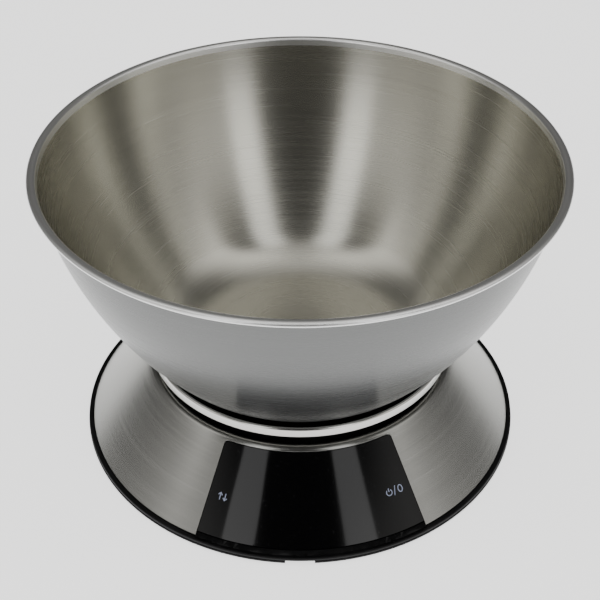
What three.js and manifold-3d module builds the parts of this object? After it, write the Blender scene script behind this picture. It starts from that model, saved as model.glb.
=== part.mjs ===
// Kitchen scale: a mixing bowl on a round weighing tray, carried by one bending-beam load cell
// inside a cone-shaped base. Millimetres, +Z up, the display faces -Y.
// The origin is the centre of the footprint, on the surface that the scale stands on.

import * as THREE from 'three';
import { mergeVertices } from 'three/addons/utils/BufferGeometryUtils.js';
import Module from 'manifold-3d';

const wasm = await Module();
wasm.setup();

// ---------------------------------------------------------------- general fits
const GAP = 0.3;                    // between pieces that are glued, clipped or screwed together
const SCREW_SLACK = 0.3;            // round a screw's shank, and round its head in a counterbore
const CROSS = { span: 0.55, slot: 0.13 };  // cross recess, as shares of the head's radius
const PAST = 1.0;                   // how far a cutting solid runs past the face that it cuts
const SHEET = 0.6;                  // stainless sheet of the tray and the cone
const MOULD = 2.0;                  // wall of the moulded casings
const ROUND_SEGMENTS = 48;
const SMALL_SEGMENTS = 16;
const SCREW_SEGMENTS = 10;
const CELL_SEGMENTS = 40;

// ---------------------------------------------------------------- bowl
const BOWL_RIM_R = 108;             // over the rolled rim
const RIM_OVERHANG = 3;             // the rim stands out from the wall by this
const BOWL_HEIGHT = 96;             // from its foot to the top of the rim
const BOWL_KNUCKLE_R = 34.5;        // round between the foot and the wall
const BOWL_KNUCKLE_TURN = 49.8 * Math.PI / 180;
const BOWL_SHEET = 0.7;
const RIM_BEAD_HEIGHT = 2.3;
const KNUCKLE_STEPS = 6;
const FLANK_STEPS = 6;

// ---------------------------------------------------------------- weighing tray and its support
const TRAY_INSET = 1.0;             // the tray is this much narrower than the cone's top, all round
const TRAY_WALL_INSET = 8.1;        // from the tray's edge in to its flat floor
const TRAY_DEPTH = 7.8;             // lip above the dish floor
const BOWL_FOOT_INSET = 18;         // from the edge of the tray's floor in to the bowl's flat foot
const TRAY_SKIRT = 4.2;             // lip turned down outside
const TRAY_LIP_R = 1.1;
const TRAY_CORNER_R = 3.5;
const TRAY_TO_CONE = 6.05;          // open height between the skirt and the cone's crown
const SUPPORT_CLEARANCE = 2.68;     // round the support, inside the cone's rolled lip
const SUPPORT_EDGE = 0.8;           // bevel round its top
const SUPPORT_PLATE = 2.5;
const SUPPORT_SKIRT = 5.8;
const SUPPORT_RIB = 1.6;
const SUPPORT_RIB_HEIGHT = 3.6;
const SUPPORT_RIBS = 8;
const RIB_ROOT = 0.1;               // rib run into the plate over it
const PLATFORM_TRAVEL = 0.3;        // sinks this much under full load
const TRAVEL_GAP = PLATFORM_TRAVEL + 0.06;

// ---------------------------------------------------------------- cone and casings
const CONE_TOP_R = 67.6;
const CONE_SLOPE = 47.7 * Math.PI / 180;
const CONE_LENGTH = 41.6;           // along the slope
const CROWN_R = 2.6;                // sheet rolled over into the well
const CROWN_LIP = 3.0;
const SKIRT_OVERHANG = 2.4;         // the base stands out from the cone's lower edge by this
const EDGE_RISE = 0.23;             // lower edge of the cone's sheet over the casing's rim
const BASE_EDGE = { w: 1.1, h: 0.7 };  // bevel under the base's rim
const RING_INSET = 0.2;             // the upper casing's rim is this much narrower than the base
const RING_EDGE = 0.5;
const GROOVE_DRAFT = 0.1;
const FOOT_STAND = 1.2;             // casing above the table
const FLOOR = 2.0;                  // floor of the base tray
const BASE_RIM = 1.6;
const RING_HEIGHT = 1.2;            // of the upper casing's rim, under the sheet's edge
const WELL_DEPTH = 7.15;            // well floor under the cone's crown
const LOCATING_RIB = 1.8;
const LOCATING_RIB_HEIGHT = 1.8;    // over the parting line

// ---------------------------------------------------------------- display panel
const PANEL_KEY_MARGIN = 4.2 * Math.PI / 180;   // panel past the middle of the unit key
const PANEL_TOP = 0.7;              // down the slope from the crown
const CHIN = 2.1;                   // casing below the panel, down to the sheet's lower edge
const PANEL_CORNER = 2.2;

// ---------------------------------------------------------------- load cell
const BEAM_LENGTH = 47;
const BEAM_WIDTH = 12;
const BEAM_HEIGHT = 6;
const BEAM_Z = 17;                  // underside of the beam
const BEAM_EYE_R = 2.2;
const BEAM_EYE_X = 4.6;
const BEAM_SLOT = 1.0;
const BEAM_SCREW_INSETS = [11, 3.5];  // from each end of the beam
const BEAM_SCREW_R = 1.5;
const BEAM_SCREW_HEAD_R = 2.9;
const BEAM_SCREW_HEAD = 2.2;
const SPACER = 1.5;
const SPACER_LENGTH = 14;
const PEDESTAL_WALL = 1.6;
const SCREW_SEAT = 2.6;             // plastic under a beam screw's head
const SCREW_TIP_INSET = 1.2;        // the screws stop this far short of the beam's far face
const BOSS_MARGIN = 1.0;            // the support's boss is this much wider than the beam
const COAT = { w: 12.4, h: 8.4, depth: 0.5, bevel: 0.3, flare: 0.4 };

// ---------------------------------------------------------------- display and boards
const LCD = { w: 38.4, h: 16, t: 2.5, ledge: 1.6 };  // the rear glass shows past the front one
const LCD_FIT = 0.25;               // round the glass, inside its frame
const LCD_BORDER = 2;               // glass hidden all round behind the casing's window
const LCD_FRAME = { wall: 1.15, lip: 2.6, front: 0.8 };
const LCD_FRAME_DEPTH = 6.3;        // front of the frame under the cone's surface
const LCD_STRIP = { inset: 1.2, h: 2, t: 3, margin: 0.2 };
const BOARD = { t: 1.6, margin: 2.2, overlap: 2 };   // past its screws, and past the frame
const BOARD_FLOOR_GAP = 0.85;       // lower edge of the board over the base's floor
const BOARD_SCREW_R = 0.9;
const BOARD_SCREW_HEAD_R = 1.9;
const BOARD_SCREW_HEAD = 1.6;
const BOARD_SCREW_BITE = 5;
const BOARD_BOSS_R = 2.2;
const BOARD_BOSS_GAP = 0.5;         // between the frame and the bosses beside it
const CHIP = { r: 5, t: 1.6, taper: 0.6, x: 3 };

// ---------------------------------------------------------------- keys
const KEY_BOARD_GAPS = { unit: 1.6, power: 0.6 };  // between each key's board and the main one
const KEY_SLANT = 23;
const KEY_R = 4.0;
const KEY_FLANGE_RIM = 0.9;         // flange past the plunger
const KEY_FLANGE = 1.0;
const KEY_FLANGE_GAP = 0.5;         // flange under the casing's wall
const KEY_CLEARANCE = 0.1;          // plunger to panel, and switch to plunger when pressed
const KEY_LENGTH = 4.2;
const KEY_TRAVEL = 0.4;
const SWITCH = { w: 6, t: 2.6, buttonR: 1.7, button: 0.7 };
const KEY_BOARD = { w: 7, t: 1.6, margin: 1.4 };
const KEY_POST_R = 1.1;
const KEY_POST_GAP = 0.6;           // between the flange and the posts above and below it

// ---------------------------------------------------------------- battery bay
const CELL_R = 10;
const CELL_T = 3.2;
const CELL_SLACK = 0.5;
const BAY_Y = 55;
const BAY_WALL = 2.0;
const BAY_HEADROOM = 1.4;           // over the cell, for the spring contact
const DOOR_MARGIN = { w: 1.7, h: 2.7 };  // door past the cell, at its sides and at its ends
const DOOR_T = 1.6;
const LATCH = { w: 8, t: 1.2, inset: 0.4 };
const NAIL_NOTCH = { r: 5, h: 3, cut: 0.3 };
const CELL_EDGE = 0.3;
const CELL_LID = { inset: 1.6, h: 0.5 };
const CONTACT_T = 0.3;
const CONTACT_W = 5;
const CONTACT_TAIL = 2.6;
const CONTACT_INSET = 4;            // spring contact, in from the cell's edge
const CONTACT_REACH = 5;            // its leaf past the cell's middle

// ---------------------------------------------------------------- feet and casing screws
const FOOT_R = 5.5;
const FOOT_INSET = 0.6;
const FOOT_CIRCLE_INSET = 12;       // middle of a foot, in from the base's edge
const FOOT_EDGE = { w: 0.5, h: 0.4 };
const FOOT_ANGLES = { front_left: 225, front_right: 315, rear_right: 45, rear_left: 135 };
const CASE_SCREW_INSET = 16;        // middle of a screw, in from the base's edge
const CASE_SCREW_ANGLES = { front_left: 205, front_right: 335, rear_right: 25, rear_left: 155 };
const CASE_SCREW_R = 1.3;
const CASE_SCREW_HEAD_R = 2.6;
const CASE_SCREW_HEAD = 1.8;
const CASE_SCREW_BITE = 5.5;
const CASE_SCREW_HOLE_SLACK = 0.2;
const CASE_BOSS_R = 3.4;
const CASE_BOSS_RISE = 2.6;         // foot of the bosses over the parting line
const CASE_BOSS_TOP = 14;
const CASE_SEAT = 1.3;              // plastic under a casing screw's head
const CASE_CUP_WALL = 1.4;
const CASE_CUP_HOLE = 6;
const NOTCH = { angle: 266.8 * Math.PI / 180, w: 12, depth: 3.2 };  // right through the base's rim

// ---------------------------------------------------------------- heights worked out from the above
const FLOOR_TOP_Z = FOOT_STAND + FLOOR;
const BASE_RIM_Z = FOOT_STAND + BASE_RIM;
const PARTING_Z = BASE_RIM_Z + GAP;
const RING_Z = PARTING_Z + RING_HEIGHT;
const CONE_TOP_Z = RING_Z + EDGE_RISE + CONE_LENGTH * Math.sin(CONE_SLOPE);
const BASE_R = CONE_TOP_R + CONE_LENGTH * Math.cos(CONE_SLOPE) + SKIRT_OVERHANG;
const RING_R = BASE_R - RING_INSET;
const CROWN_CENTRE = {
  r: CONE_TOP_R - CROWN_R * Math.sin(CONE_SLOPE),
  z: CONE_TOP_Z - CROWN_R * Math.cos(CONE_SLOPE),
};
const CROWN_Z = CROWN_CENTRE.z + CROWN_R;
const WELL_FLOOR_Z = CROWN_Z - WELL_DEPTH;
const TRAY_TOP_Z = CROWN_Z + TRAY_TO_CONE + TRAY_SKIRT;
const TRAY_FLOOR_Z = TRAY_TOP_Z - TRAY_DEPTH;
const TRAY_R = CONE_TOP_R - TRAY_INSET;
const TRAY_FLOOR_R = TRAY_R - TRAY_WALL_INSET;
const BOWL_FOOT_R = TRAY_FLOOR_R - BOWL_FOOT_INSET;
const BOWL_WALL_R = BOWL_RIM_R - RIM_OVERHANG;
const BOWL_Z = TRAY_FLOOR_Z + GAP;
const SUPPORT_R = CROWN_CENTRE.r - CROWN_R - SUPPORT_CLEARANCE;
const SUPPORT_Z = TRAY_FLOOR_Z - SHEET - GAP;        // top of the support
const BEAM_TOP_Z = BEAM_Z + BEAM_HEIGHT;
const LOWER_SPACER_Z = BEAM_Z - GAP - SPACER;
const PEDESTAL_Z = LOWER_SPACER_Z - GAP;
const UPPER_SPACER_Z = BEAM_TOP_Z + TRAVEL_GAP;
const BOSS_Z = UPPER_SPACER_Z + SPACER + GAP;        // underside of the support's boss
const SPACER_X = (BEAM_LENGTH - SPACER_LENGTH) / 2;
const BEAM_SCREW_X = BEAM_SCREW_INSETS.map((inset) => BEAM_LENGTH / 2 - inset);
const BOSS_HALF_WIDTH = BEAM_WIDTH / 2 + BOSS_MARGIN;
const CASE_DEPTH = SHEET + GAP;                      // casing under the cone's surface
const STACK = {
  glass: LCD_FRAME_DEPTH + LCD_FRAME.front + GAP,
};
STACK.strip = STACK.glass + LCD.t + GAP;
STACK.board = STACK.strip + LCD_STRIP.t + GAP;
const STACK_BACK = STACK.board + BOARD.t;
const FRAME_W = LCD.w + 2 * (LCD_FIT + LCD_FRAME.wall);
const FRAME_H = LCD.h + 2 * (LCD_FIT + LCD_FRAME.wall);
const BOARD_SCREW_X = FRAME_W / 2 + BOARD_BOSS_GAP + BOARD_BOSS_R;
const BOARD_W = 2 * (BOARD_SCREW_X + BOARD.margin);
const BOARD_H = FRAME_H + 2 * BOARD.overlap;
const STACK_SLANT = slantAtHeight(FLOOR_TOP_Z + BOARD_FLOOR_GAP, STACK_BACK) - BOARD_H / 2;
const PANEL_END = CONE_LENGTH - CHIN;
const KEY_FLANGE_R = KEY_R + KEY_FLANGE_RIM;
const KEY_POST_V = KEY_FLANGE_R + KEY_POST_GAP + KEY_POST_R;
const KEY_BOARD_H = 2 * (KEY_POST_V + KEY_BOARD.margin);
const KEY_DEPTH = SHEET + GAP + KEY_CLEARANCE;
const KEY_END = KEY_DEPTH + KEY_LENGTH;
const SWITCH_DEPTH = KEY_END + KEY_TRAVEL + KEY_CLEARANCE;
const PAST_CONE = CONE_LENGTH + 6;                   // slant of a cut that runs off the cone
const KEY_BOARD_DEPTH = SWITCH_DEPTH + SWITCH.button + SWITCH.t + GAP;
const UNIT_KEY_ANGLE = -keyAngle(KEY_BOARD_GAPS.unit);
const POWER_KEY_ANGLE = keyAngle(KEY_BOARD_GAPS.power);
const PANEL_HALF_ANGLE = PANEL_KEY_MARGIN - UNIT_KEY_ANGLE;
const DOOR = { w: 2 * (CELL_R + DOOR_MARGIN.w), h: 2 * (CELL_R + DOOR_MARGIN.h), t: DOOR_T };
const DOOR_Z = FOOT_STAND;
const BAY_Z = DOOR_Z + DOOR.t + 2 * GAP;             // ledge over the door
const CELL_Z = BAY_Z + GAP;
const BAY_ROOF_Z = CELL_Z + CELL_T + BAY_HEADROOM;
const DOOR_HINGE_Y = BAY_Y - DOOR.h / 2 + DOOR.t / 2;
const BAY_HALF_W = DOOR.w / 2 + GAP;
const BAY_HALF_H = DOOR.h / 2 + GAP;
const FOOT_CIRCLE_R = BASE_R - FOOT_CIRCLE_INSET;
const CASE_SCREW_CIRCLE_R = BASE_R - CASE_SCREW_INSET;
const CASE_SCREW_SEAT_Z = PARTING_Z + CASE_BOSS_RISE - GAP - CASE_SEAT;

// ---------------------------------------------------------------- finishes
const finish = (color, roughness, metalness) =>
  new THREE.MeshStandardMaterial({ color, roughness, metalness });
const BRUSHED_STEEL = () => finish(0xb9b8b2, 0.34, 1);
const POLISHED_STEEL = () => finish(0xc4c3be, 0.18, 1);
const BLACK_ABS = () => finish(0x101113, 0.42, 0);
const PANEL_BLACK = () => finish(0x050506, 0.06, 0);
const ALUMINIUM = () => finish(0xb4b7ba, 0.4, 1);
const ZINC = () => finish(0xa9acad, 0.35, 1);
const RUBBER = () => finish(0x1b1b1c, 0.85, 0);
const BOARD_GREEN = () => finish(0x1e5a36, 0.5, 0);
const GLASS = () => finish(0x8c9a8e, 0.08, 0);
const SILICONE = () => finish(0xd9d6cf, 0.6, 0);
const LEAD_SLEEVE = () => finish(0xb2202a, 0.5, 0);
const CELL_STEEL = () => finish(0xcfd0cf, 0.25, 1);
const PLATED_BRASS = () => finish(0xc9b37a, 0.3, 1);

// ---------------------------------------------------------------- solids
function toSolid(geometry) {
  const bare = geometry.clone();
  bare.deleteAttribute('normal');
  bare.deleteAttribute('uv');
  const merged = mergeVertices(bare, 1e-4);
  const index = Array.from(merged.index.array);
  const triangles = [];
  for (let i = 0; i < index.length; i += 3) {
    const [a, b, c] = index.slice(i, i + 3);
    if (a !== b && b !== c && c !== a) triangles.push(a, b, c);
  }
  return new wasm.Manifold(new wasm.Mesh({
    numProp: 3,
    vertProperties: new Float32Array(merged.attributes.position.array),
    triVerts: new Uint32Array(triangles),
  }));
}

function toGeometry(solid) {
  const mesh = solid.getMesh();
  const geometry = new THREE.BufferGeometry();
  geometry.setAttribute('position', new THREE.BufferAttribute(mesh.vertProperties.slice(), 3));
  geometry.setIndex(new THREE.BufferAttribute(mesh.triVerts.slice(), 1));
  geometry.computeVertexNormals();
  return geometry;
}

// A closed outline of [r, z] points, anticlockwise, turned about Z.
function lathe(points, segments = ROUND_SEGMENTS) {
  const outline = points.map(([r, z]) => new THREE.Vector2(r, z));
  const onAxis = outline[0].x === 0 && outline.at(-1).x === 0;
  if (!onAxis) outline.push(outline[0].clone());
  return toSolid(new THREE.LatheGeometry(outline, segments).rotateX(Math.PI / 2));
}

function disc(r, z0, z1, x = 0, y = 0, segments = SMALL_SEGMENTS) {
  const geometry = new THREE.CylinderGeometry(r, r, z1 - z0, segments).rotateX(Math.PI / 2);
  return toSolid(geometry.translate(x, y, (z0 + z1) / 2));
}

function block(x0, x1, y0, y1, z0, z1) {
  const geometry = new THREE.BoxGeometry(x1 - x0, y1 - y0, z1 - z0);
  return toSolid(geometry.translate((x0 + x1) / 2, (y0 + y1) / 2, (z0 + z1) / 2));
}

// Points of an arc in the [r, z] plane, from one angle to another, both ends included.
function arc(r, z, radius, from, to, steps) {
  return Array.from({ length: steps + 1 }, (_, i) => {
    const angle = from + (to - from) * i / steps;
    return [r + radius * Math.cos(angle), z + radius * Math.sin(angle)];
  });
}

// A point on the cone: slant runs down from the crown, depth runs in from the steel's surface.
function conePoint(slant, depth) {
  return [
    CONE_TOP_R + slant * Math.cos(CONE_SLOPE) - depth * Math.sin(CONE_SLOPE),
    CONE_TOP_Z - slant * Math.sin(CONE_SLOPE) - depth * Math.cos(CONE_SLOPE),
  ];
}

// The slant at which a line at this depth comes down to a height.
function slantAtHeight(z, depth) {
  return (CONE_TOP_Z - depth * Math.cos(CONE_SLOPE) - z) / Math.sin(CONE_SLOPE);
}

// How far round the cone a key sits, so that its board's upper end stands clear of the main board.
function keyAngle(gap) {
  const across = BOARD_W / 2 + gap + KEY_BOARD.w / 2;
  const upperEnd = KEY_SLANT - KEY_BOARD_H / 2;
  return Math.asin(across / conePoint(upperEnd, KEY_BOARD_DEPTH)[0]);
}

// Turns a solid made with Z out of the panel, and Y up its slope, into its place on the cone.
function onCone(solid, slant, angle = 0) {
  const [r, z] = conePoint(slant, 0);
  const place = new THREE.Matrix4().makeRotationZ(angle)
    .multiply(new THREE.Matrix4().makeTranslation(0, -r, z))
    .multiply(new THREE.Matrix4().makeRotationX(CONE_SLOPE));
  return toSolid(toGeometry(solid).applyMatrix4(place));
}

function onConePoint(x, slant, depth, angle = 0) {
  const [r, z] = conePoint(slant, depth);
  return new THREE.Vector3(x, -r, z).applyAxisAngle(new THREE.Vector3(0, 0, 1), angle);
}

const polar = (r, degrees) => {
  const angle = degrees * Math.PI / 180;
  return [r * Math.cos(angle), r * Math.sin(angle)];
};

// A screw standing on Z: its head above z, its shank below, with a cross recess in the head.
function screw(headR, head, shankR, shank, x, y, z, up = true) {
  const headZ = up ? [z, z + head] : [z - head, z];
  const shankZ = up ? [z - shank, z + head / 2] : [z - head / 2, z + shank];
  const recess = headR * CROSS.span;
  const face = up ? z + head : z - head;
  const cut = (dx, dy) => block(x - dx, x + dx, y - dy, y + dy, face - head / 2, face + head / 2);
  const slot = headR * CROSS.slot;
  return disc(headR, ...headZ, x, y, SCREW_SEGMENTS)
    .add(disc(shankR, ...shankZ, x, y, SCREW_SEGMENTS))
    .subtract(cut(recess, slot).add(cut(slot, recess)));
}

function lead(points, radius) {
  const section = new THREE.Shape().absarc(0, 0, radius, 0, 2 * Math.PI);
  const path = new THREE.CatmullRomCurve3(points);
  return toSolid(new THREE.ExtrudeGeometry(section, {
    steps: 3 * (points.length - 1), curveSegments: 4, extrudePath: path, bevelEnabled: false,
  }));
}

// ---------------------------------------------------------------- bowl
// The wall is two arcs that meet without a corner: the knuckle and the long flank.
function bowlSurface(inset) {
  const z = BOWL_Z + BOWL_KNUCKLE_R;
  const turn = BOWL_KNUCKLE_TURN;
  const joinR = BOWL_FOOT_R + BOWL_KNUCKLE_R * Math.sin(turn);
  const joinZ = z - BOWL_KNUCKLE_R * Math.cos(turn);
  const topZ = BOWL_Z + BOWL_HEIGHT - RIM_BEAD_HEIGHT / 2;
  // The flank leaves the knuckle at its slope and comes to the wall's radius at the rim's height.
  const dr = BOWL_WALL_R - joinR;
  const dz = topZ - joinZ;
  const flankR = (dr * dr + dz * dz) / (2 * (dz * Math.cos(turn) - dr * Math.sin(turn)));
  const flankCentre = [joinR - flankR * Math.sin(turn), joinZ + flankR * Math.cos(turn)];
  const end = Math.asin((topZ - flankCentre[1]) / flankR);
  return [
    ...arc(BOWL_FOOT_R, z, BOWL_KNUCKLE_R - inset, -Math.PI / 2, turn - Math.PI / 2, KNUCKLE_STEPS),
    ...arc(...flankCentre, flankR - inset, turn - Math.PI / 2, end, FLANK_STEPS).slice(1),
  ];
}

function bowl() {
  const outside = bowlSurface(0);
  const inside = bowlSurface(BOWL_SHEET);
  const beadZ = BOWL_Z + BOWL_HEIGHT - RIM_BEAD_HEIGHT / 2;
  const beadInnerR = inside.at(-1)[0];
  const beadHalf = (BOWL_RIM_R - beadInnerR) / 2;
  const bead = arc(0, 0, 1, -Math.PI / 2, Math.PI, 7)
    .map(([c, s]) => [beadInnerR + beadHalf * (1 + c), beadZ + s * RIM_BEAD_HEIGHT / 2]);
  return lathe([
    [0, BOWL_Z],
    ...outside.slice(0, -1),
    [outside.at(-1)[0], beadZ - RIM_BEAD_HEIGHT / 2],
    ...bead,
    ...inside.slice(0, -1).reverse(),
    [0, BOWL_Z + BOWL_SHEET],
  ]);
}

// ---------------------------------------------------------------- weighing tray
function weighingTray() {
  const lipCentre = [TRAY_R - TRAY_LIP_R, TRAY_TOP_Z - TRAY_LIP_R];
  const cornerZ = TRAY_FLOOR_Z + TRAY_CORNER_R;
  const wallR = TRAY_FLOOR_R + TRAY_CORNER_R;
  const lipInner = TRAY_LIP_R - SHEET;
  return lathe([
    [0, TRAY_FLOOR_Z - SHEET],
    ...arc(TRAY_FLOOR_R, cornerZ, TRAY_CORNER_R + SHEET, -Math.PI / 2, -0.1, 4),
    ...arc(...lipCentre, lipInner, Math.PI, 0, 3),
    [TRAY_R - SHEET, TRAY_TOP_Z - TRAY_SKIRT],
    [TRAY_R, TRAY_TOP_Z - TRAY_SKIRT],
    ...arc(...lipCentre, TRAY_LIP_R, 0, Math.PI, 5),
    [wallR, cornerZ],
    ...arc(TRAY_FLOOR_R, cornerZ, TRAY_CORNER_R, -0.2, -Math.PI / 2, 4),
    [0, TRAY_FLOOR_Z],
  ]);
}

function traySupport() {
  const underside = SUPPORT_Z - SUPPORT_PLATE;
  const plate = lathe([
    [0, underside],
    [SUPPORT_R - MOULD, underside],
    [SUPPORT_R - MOULD, SUPPORT_Z - SUPPORT_SKIRT],
    [SUPPORT_R, SUPPORT_Z - SUPPORT_SKIRT],
    [SUPPORT_R, SUPPORT_Z - SUPPORT_EDGE],
    [SUPPORT_R - SUPPORT_EDGE, SUPPORT_Z],
    [0, SUPPORT_Z],
  ]);
  let solid = plate;
  for (let i = 0; i < SUPPORT_RIBS; i += 1) {
    const rib = new THREE.BoxGeometry(SUPPORT_R - 2 * MOULD, SUPPORT_RIB, SUPPORT_RIB_HEIGHT)
      .translate(SUPPORT_R / 2, 0, underside - SUPPORT_RIB_HEIGHT / 2 + RIB_ROOT)
      .rotateZ((i + 0.5) * 2 * Math.PI / SUPPORT_RIBS);
    solid = solid.add(toSolid(rib));
  }
  solid = solid.add(block(SPACER_X - SPACER_LENGTH / 2, SPACER_X + SPACER_LENGTH / 2,
    -BOSS_HALF_WIDTH, BOSS_HALF_WIDTH, BOSS_Z, SUPPORT_Z - SUPPORT_PLATE / 2));
  for (const x of BEAM_SCREW_X) {
    const seat = BOSS_Z + SCREW_SEAT;
    solid = solid
      .subtract(disc(BEAM_SCREW_R + SCREW_SLACK, BOSS_Z - PAST, seat + PAST, x, 0, SCREW_SEGMENTS))
      .subtract(disc(BEAM_SCREW_HEAD_R + SCREW_SLACK, seat, SUPPORT_Z + PAST, x, 0, SMALL_SEGMENTS));
  }
  return solid;
}

// ---------------------------------------------------------------- load cell
function loadCell() {
  const half = BEAM_LENGTH / 2;
  const middle = BEAM_Z + BEAM_HEIGHT / 2;
  let beam = block(-half, half, -BEAM_WIDTH / 2, BEAM_WIDTH / 2, BEAM_Z, BEAM_TOP_Z);
  for (const side of [-1, 1]) {
    const eye = new THREE.CylinderGeometry(BEAM_EYE_R, BEAM_EYE_R, BEAM_WIDTH + 2 * PAST, 16)
      .translate(side * BEAM_EYE_X, 0, middle);
    beam = beam.subtract(toSolid(eye));
    for (const x of BEAM_SCREW_X) {
      beam = beam.subtract(disc(BEAM_SCREW_R + SCREW_SLACK, BEAM_Z - PAST, BEAM_TOP_Z + PAST,
        side * x, 0, SCREW_SEGMENTS));
    }
  }
  return beam.subtract(block(-BEAM_EYE_X, BEAM_EYE_X, -BEAM_WIDTH, BEAM_WIDTH,
    middle - BEAM_SLOT / 2, middle + BEAM_SLOT / 2));
}

function beamSpacer(side, z) {
  const x = side * SPACER_X;
  let plate = block(x - SPACER_LENGTH / 2, x + SPACER_LENGTH / 2,
    -BEAM_WIDTH / 2, BEAM_WIDTH / 2, z, z + SPACER);
  for (const hole of BEAM_SCREW_X) {
    plate = plate.subtract(disc(BEAM_SCREW_R + SCREW_SLACK, z - PAST, z + SPACER + PAST,
      side * hole, 0, SCREW_SEGMENTS));
  }
  return plate;
}

// Upper screws come down through the support's boss, lower ones up through the base's pedestal.
function beamScrew(side, x) {
  const head = [BEAM_SCREW_HEAD_R, BEAM_SCREW_HEAD];
  if (side > 0) {
    const seat = BOSS_Z + SCREW_SEAT + GAP;
    return screw(...head, BEAM_SCREW_R, seat - BEAM_Z - SCREW_TIP_INSET, x, 0, seat);
  }
  const seat = PEDESTAL_Z - SCREW_SEAT - GAP;
  return screw(...head, BEAM_SCREW_R, BEAM_TOP_Z - SCREW_TIP_INSET - seat, -x, 0, seat, false);
}

function gaugeCoat() {
  const { w, h, depth, bevel, flare } = COAT;
  const outline = new THREE.Shape().absellipse(0, 0, w / 2, h / 2, 0, 2 * Math.PI);
  const coat = new THREE.ExtrudeGeometry(outline, {
    depth, curveSegments: 8, bevelThickness: bevel, bevelSize: flare, bevelSegments: 1,
  });
  return toSolid(coat.translate(0, 0, BEAM_TOP_Z + GAP + bevel));
}

// ---------------------------------------------------------------- cone and panel
// A ring that follows the cone and rolls over its crown, between two depths.
function coneRing(outerDepth, innerDepth, lipEnd, slantEnd) {
  const normal = Math.PI / 2 - CONE_SLOPE;
  const { r, z } = CROWN_CENTRE;
  return lathe([
    conePoint(slantEnd, innerDepth),
    conePoint(slantEnd, outerDepth),
    ...arc(r, z, CROWN_R - outerDepth, normal, Math.PI, 5),
    [r - CROWN_R + outerDepth, lipEnd],
    [r - CROWN_R + innerDepth, lipEnd],
    ...arc(r, z, CROWN_R - innerDepth, Math.PI, normal, 5),
  ]);
}

// Upright prism over the panel's outline seen from above, grown by a margin all round.
function panelPrism(margin, topSlant, endSlant) {
  const inner = conePoint(topSlant, 0)[0] - margin;
  const outer = conePoint(endSlant, 0)[0] + margin;
  const corner = PANEL_CORNER * Math.cos(CONE_SLOPE);
  const front = -Math.PI / 2;
  const inner0 = PANEL_HALF_ANGLE + margin / inner;
  const outer0 = PANEL_HALF_ANGLE + margin / outer;
  const point = (r, angle) => [r * Math.cos(front + angle), r * Math.sin(front + angle)];
  const shape = new THREE.Shape();
  shape.moveTo(...point(outer, -outer0));
  shape.absarc(0, 0, outer, front - outer0, front + outer0, false);
  shape.lineTo(...point(inner + corner, inner0));
  shape.quadraticCurveTo(...point(inner, inner0), ...point(inner, inner0 - PANEL_CORNER / inner));
  shape.absarc(0, 0, inner, front + inner0 - PANEL_CORNER / inner,
    front - inner0 + PANEL_CORNER / inner, true);
  shape.quadraticCurveTo(...point(inner, -inner0), ...point(inner + corner, -inner0));
  shape.closePath();
  return toSolid(new THREE.ExtrudeGeometry(shape, {
    depth: CROWN_Z + PAST, curveSegments: 16, bevelEnabled: false,
  }));
}

function baseSkin() {
  const ring = coneRing(0, SHEET, CROWN_CENTRE.z - CROWN_LIP, CONE_LENGTH);
  return ring.subtract(panelPrism(GAP, PANEL_TOP, PAST_CONE));
}

function displayPanel() {
  const ring = coneRing(0, SHEET, CROWN_CENTRE.z - CROWN_LIP, CONE_LENGTH);
  return ring.intersect(panelPrism(0, PANEL_TOP, PANEL_END));
}

// ---------------------------------------------------------------- upper casing
function casingShell() {
  const inside = CASE_DEPTH + MOULD;
  const normal = Math.PI / 2 - CONE_SLOPE;
  const ledgeZ = conePoint(CONE_LENGTH, SHEET)[1] - GAP;
  const grooveR = conePoint(CONE_LENGTH, 0)[0] + GAP;
  const wellR = CROWN_CENTRE.r - CROWN_R + CASE_DEPTH;
  const wellOuterR = wellR + MOULD;
  const cornerSlant = (wellOuterR - conePoint(0, inside)[0]) / Math.cos(CONE_SLOPE);
  return lathe([
    [0, WELL_FLOOR_Z - MOULD],
    [wellOuterR, WELL_FLOOR_Z - MOULD],
    conePoint(cornerSlant, inside),
    conePoint(slantAtHeight(PARTING_Z, inside), inside),
    [RING_R, PARTING_Z],
    [RING_R, RING_Z - RING_EDGE],
    [RING_R - RING_EDGE, RING_Z],
    [grooveR + GROOVE_DRAFT, RING_Z],
    [grooveR, ledgeZ],
    conePoint(slantAtHeight(ledgeZ, CASE_DEPTH), CASE_DEPTH),
    ...arc(CROWN_CENTRE.r, CROWN_CENTRE.z, CROWN_R - CASE_DEPTH, normal, Math.PI, 5),
    [wellR, WELL_FLOOR_Z],
    [0, WELL_FLOOR_Z],
  ]);
}

// Fills the panel's cut-out below the panel, level with the steel.
function panelChin() {
  const top = PANEL_END - MOULD;
  const foot = PARTING_Z + RING_HEIGHT / 2;
  const inner = CASE_DEPTH + MOULD / 2;
  const band = lathe([
    conePoint(slantAtHeight(foot, inner), inner),
    conePoint(slantAtHeight(foot, 0), 0),
    conePoint(top, 0),
    conePoint(top, inner),
  ]);
  return band.intersect(panelPrism(0, PANEL_TOP, PAST_CONE))
    .subtract(panelPrism(GAP, PANEL_TOP, PANEL_END));
}

function caseBoss(angle) {
  const [x, y] = polar(CASE_SCREW_CIRCLE_R, angle);
  return disc(CASE_BOSS_R, PARTING_Z + CASE_BOSS_RISE, CASE_BOSS_TOP, x, y);
}

function insideOfCone(solid) {
  const inside = CASE_DEPTH + MOULD / 2;
  return solid.intersect(lathe([
    [0, 0],
    conePoint(slantAtHeight(0, inside), inside),
    conePoint(0, inside),
    [0, conePoint(0, inside)[1]],
  ]));
}

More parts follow.
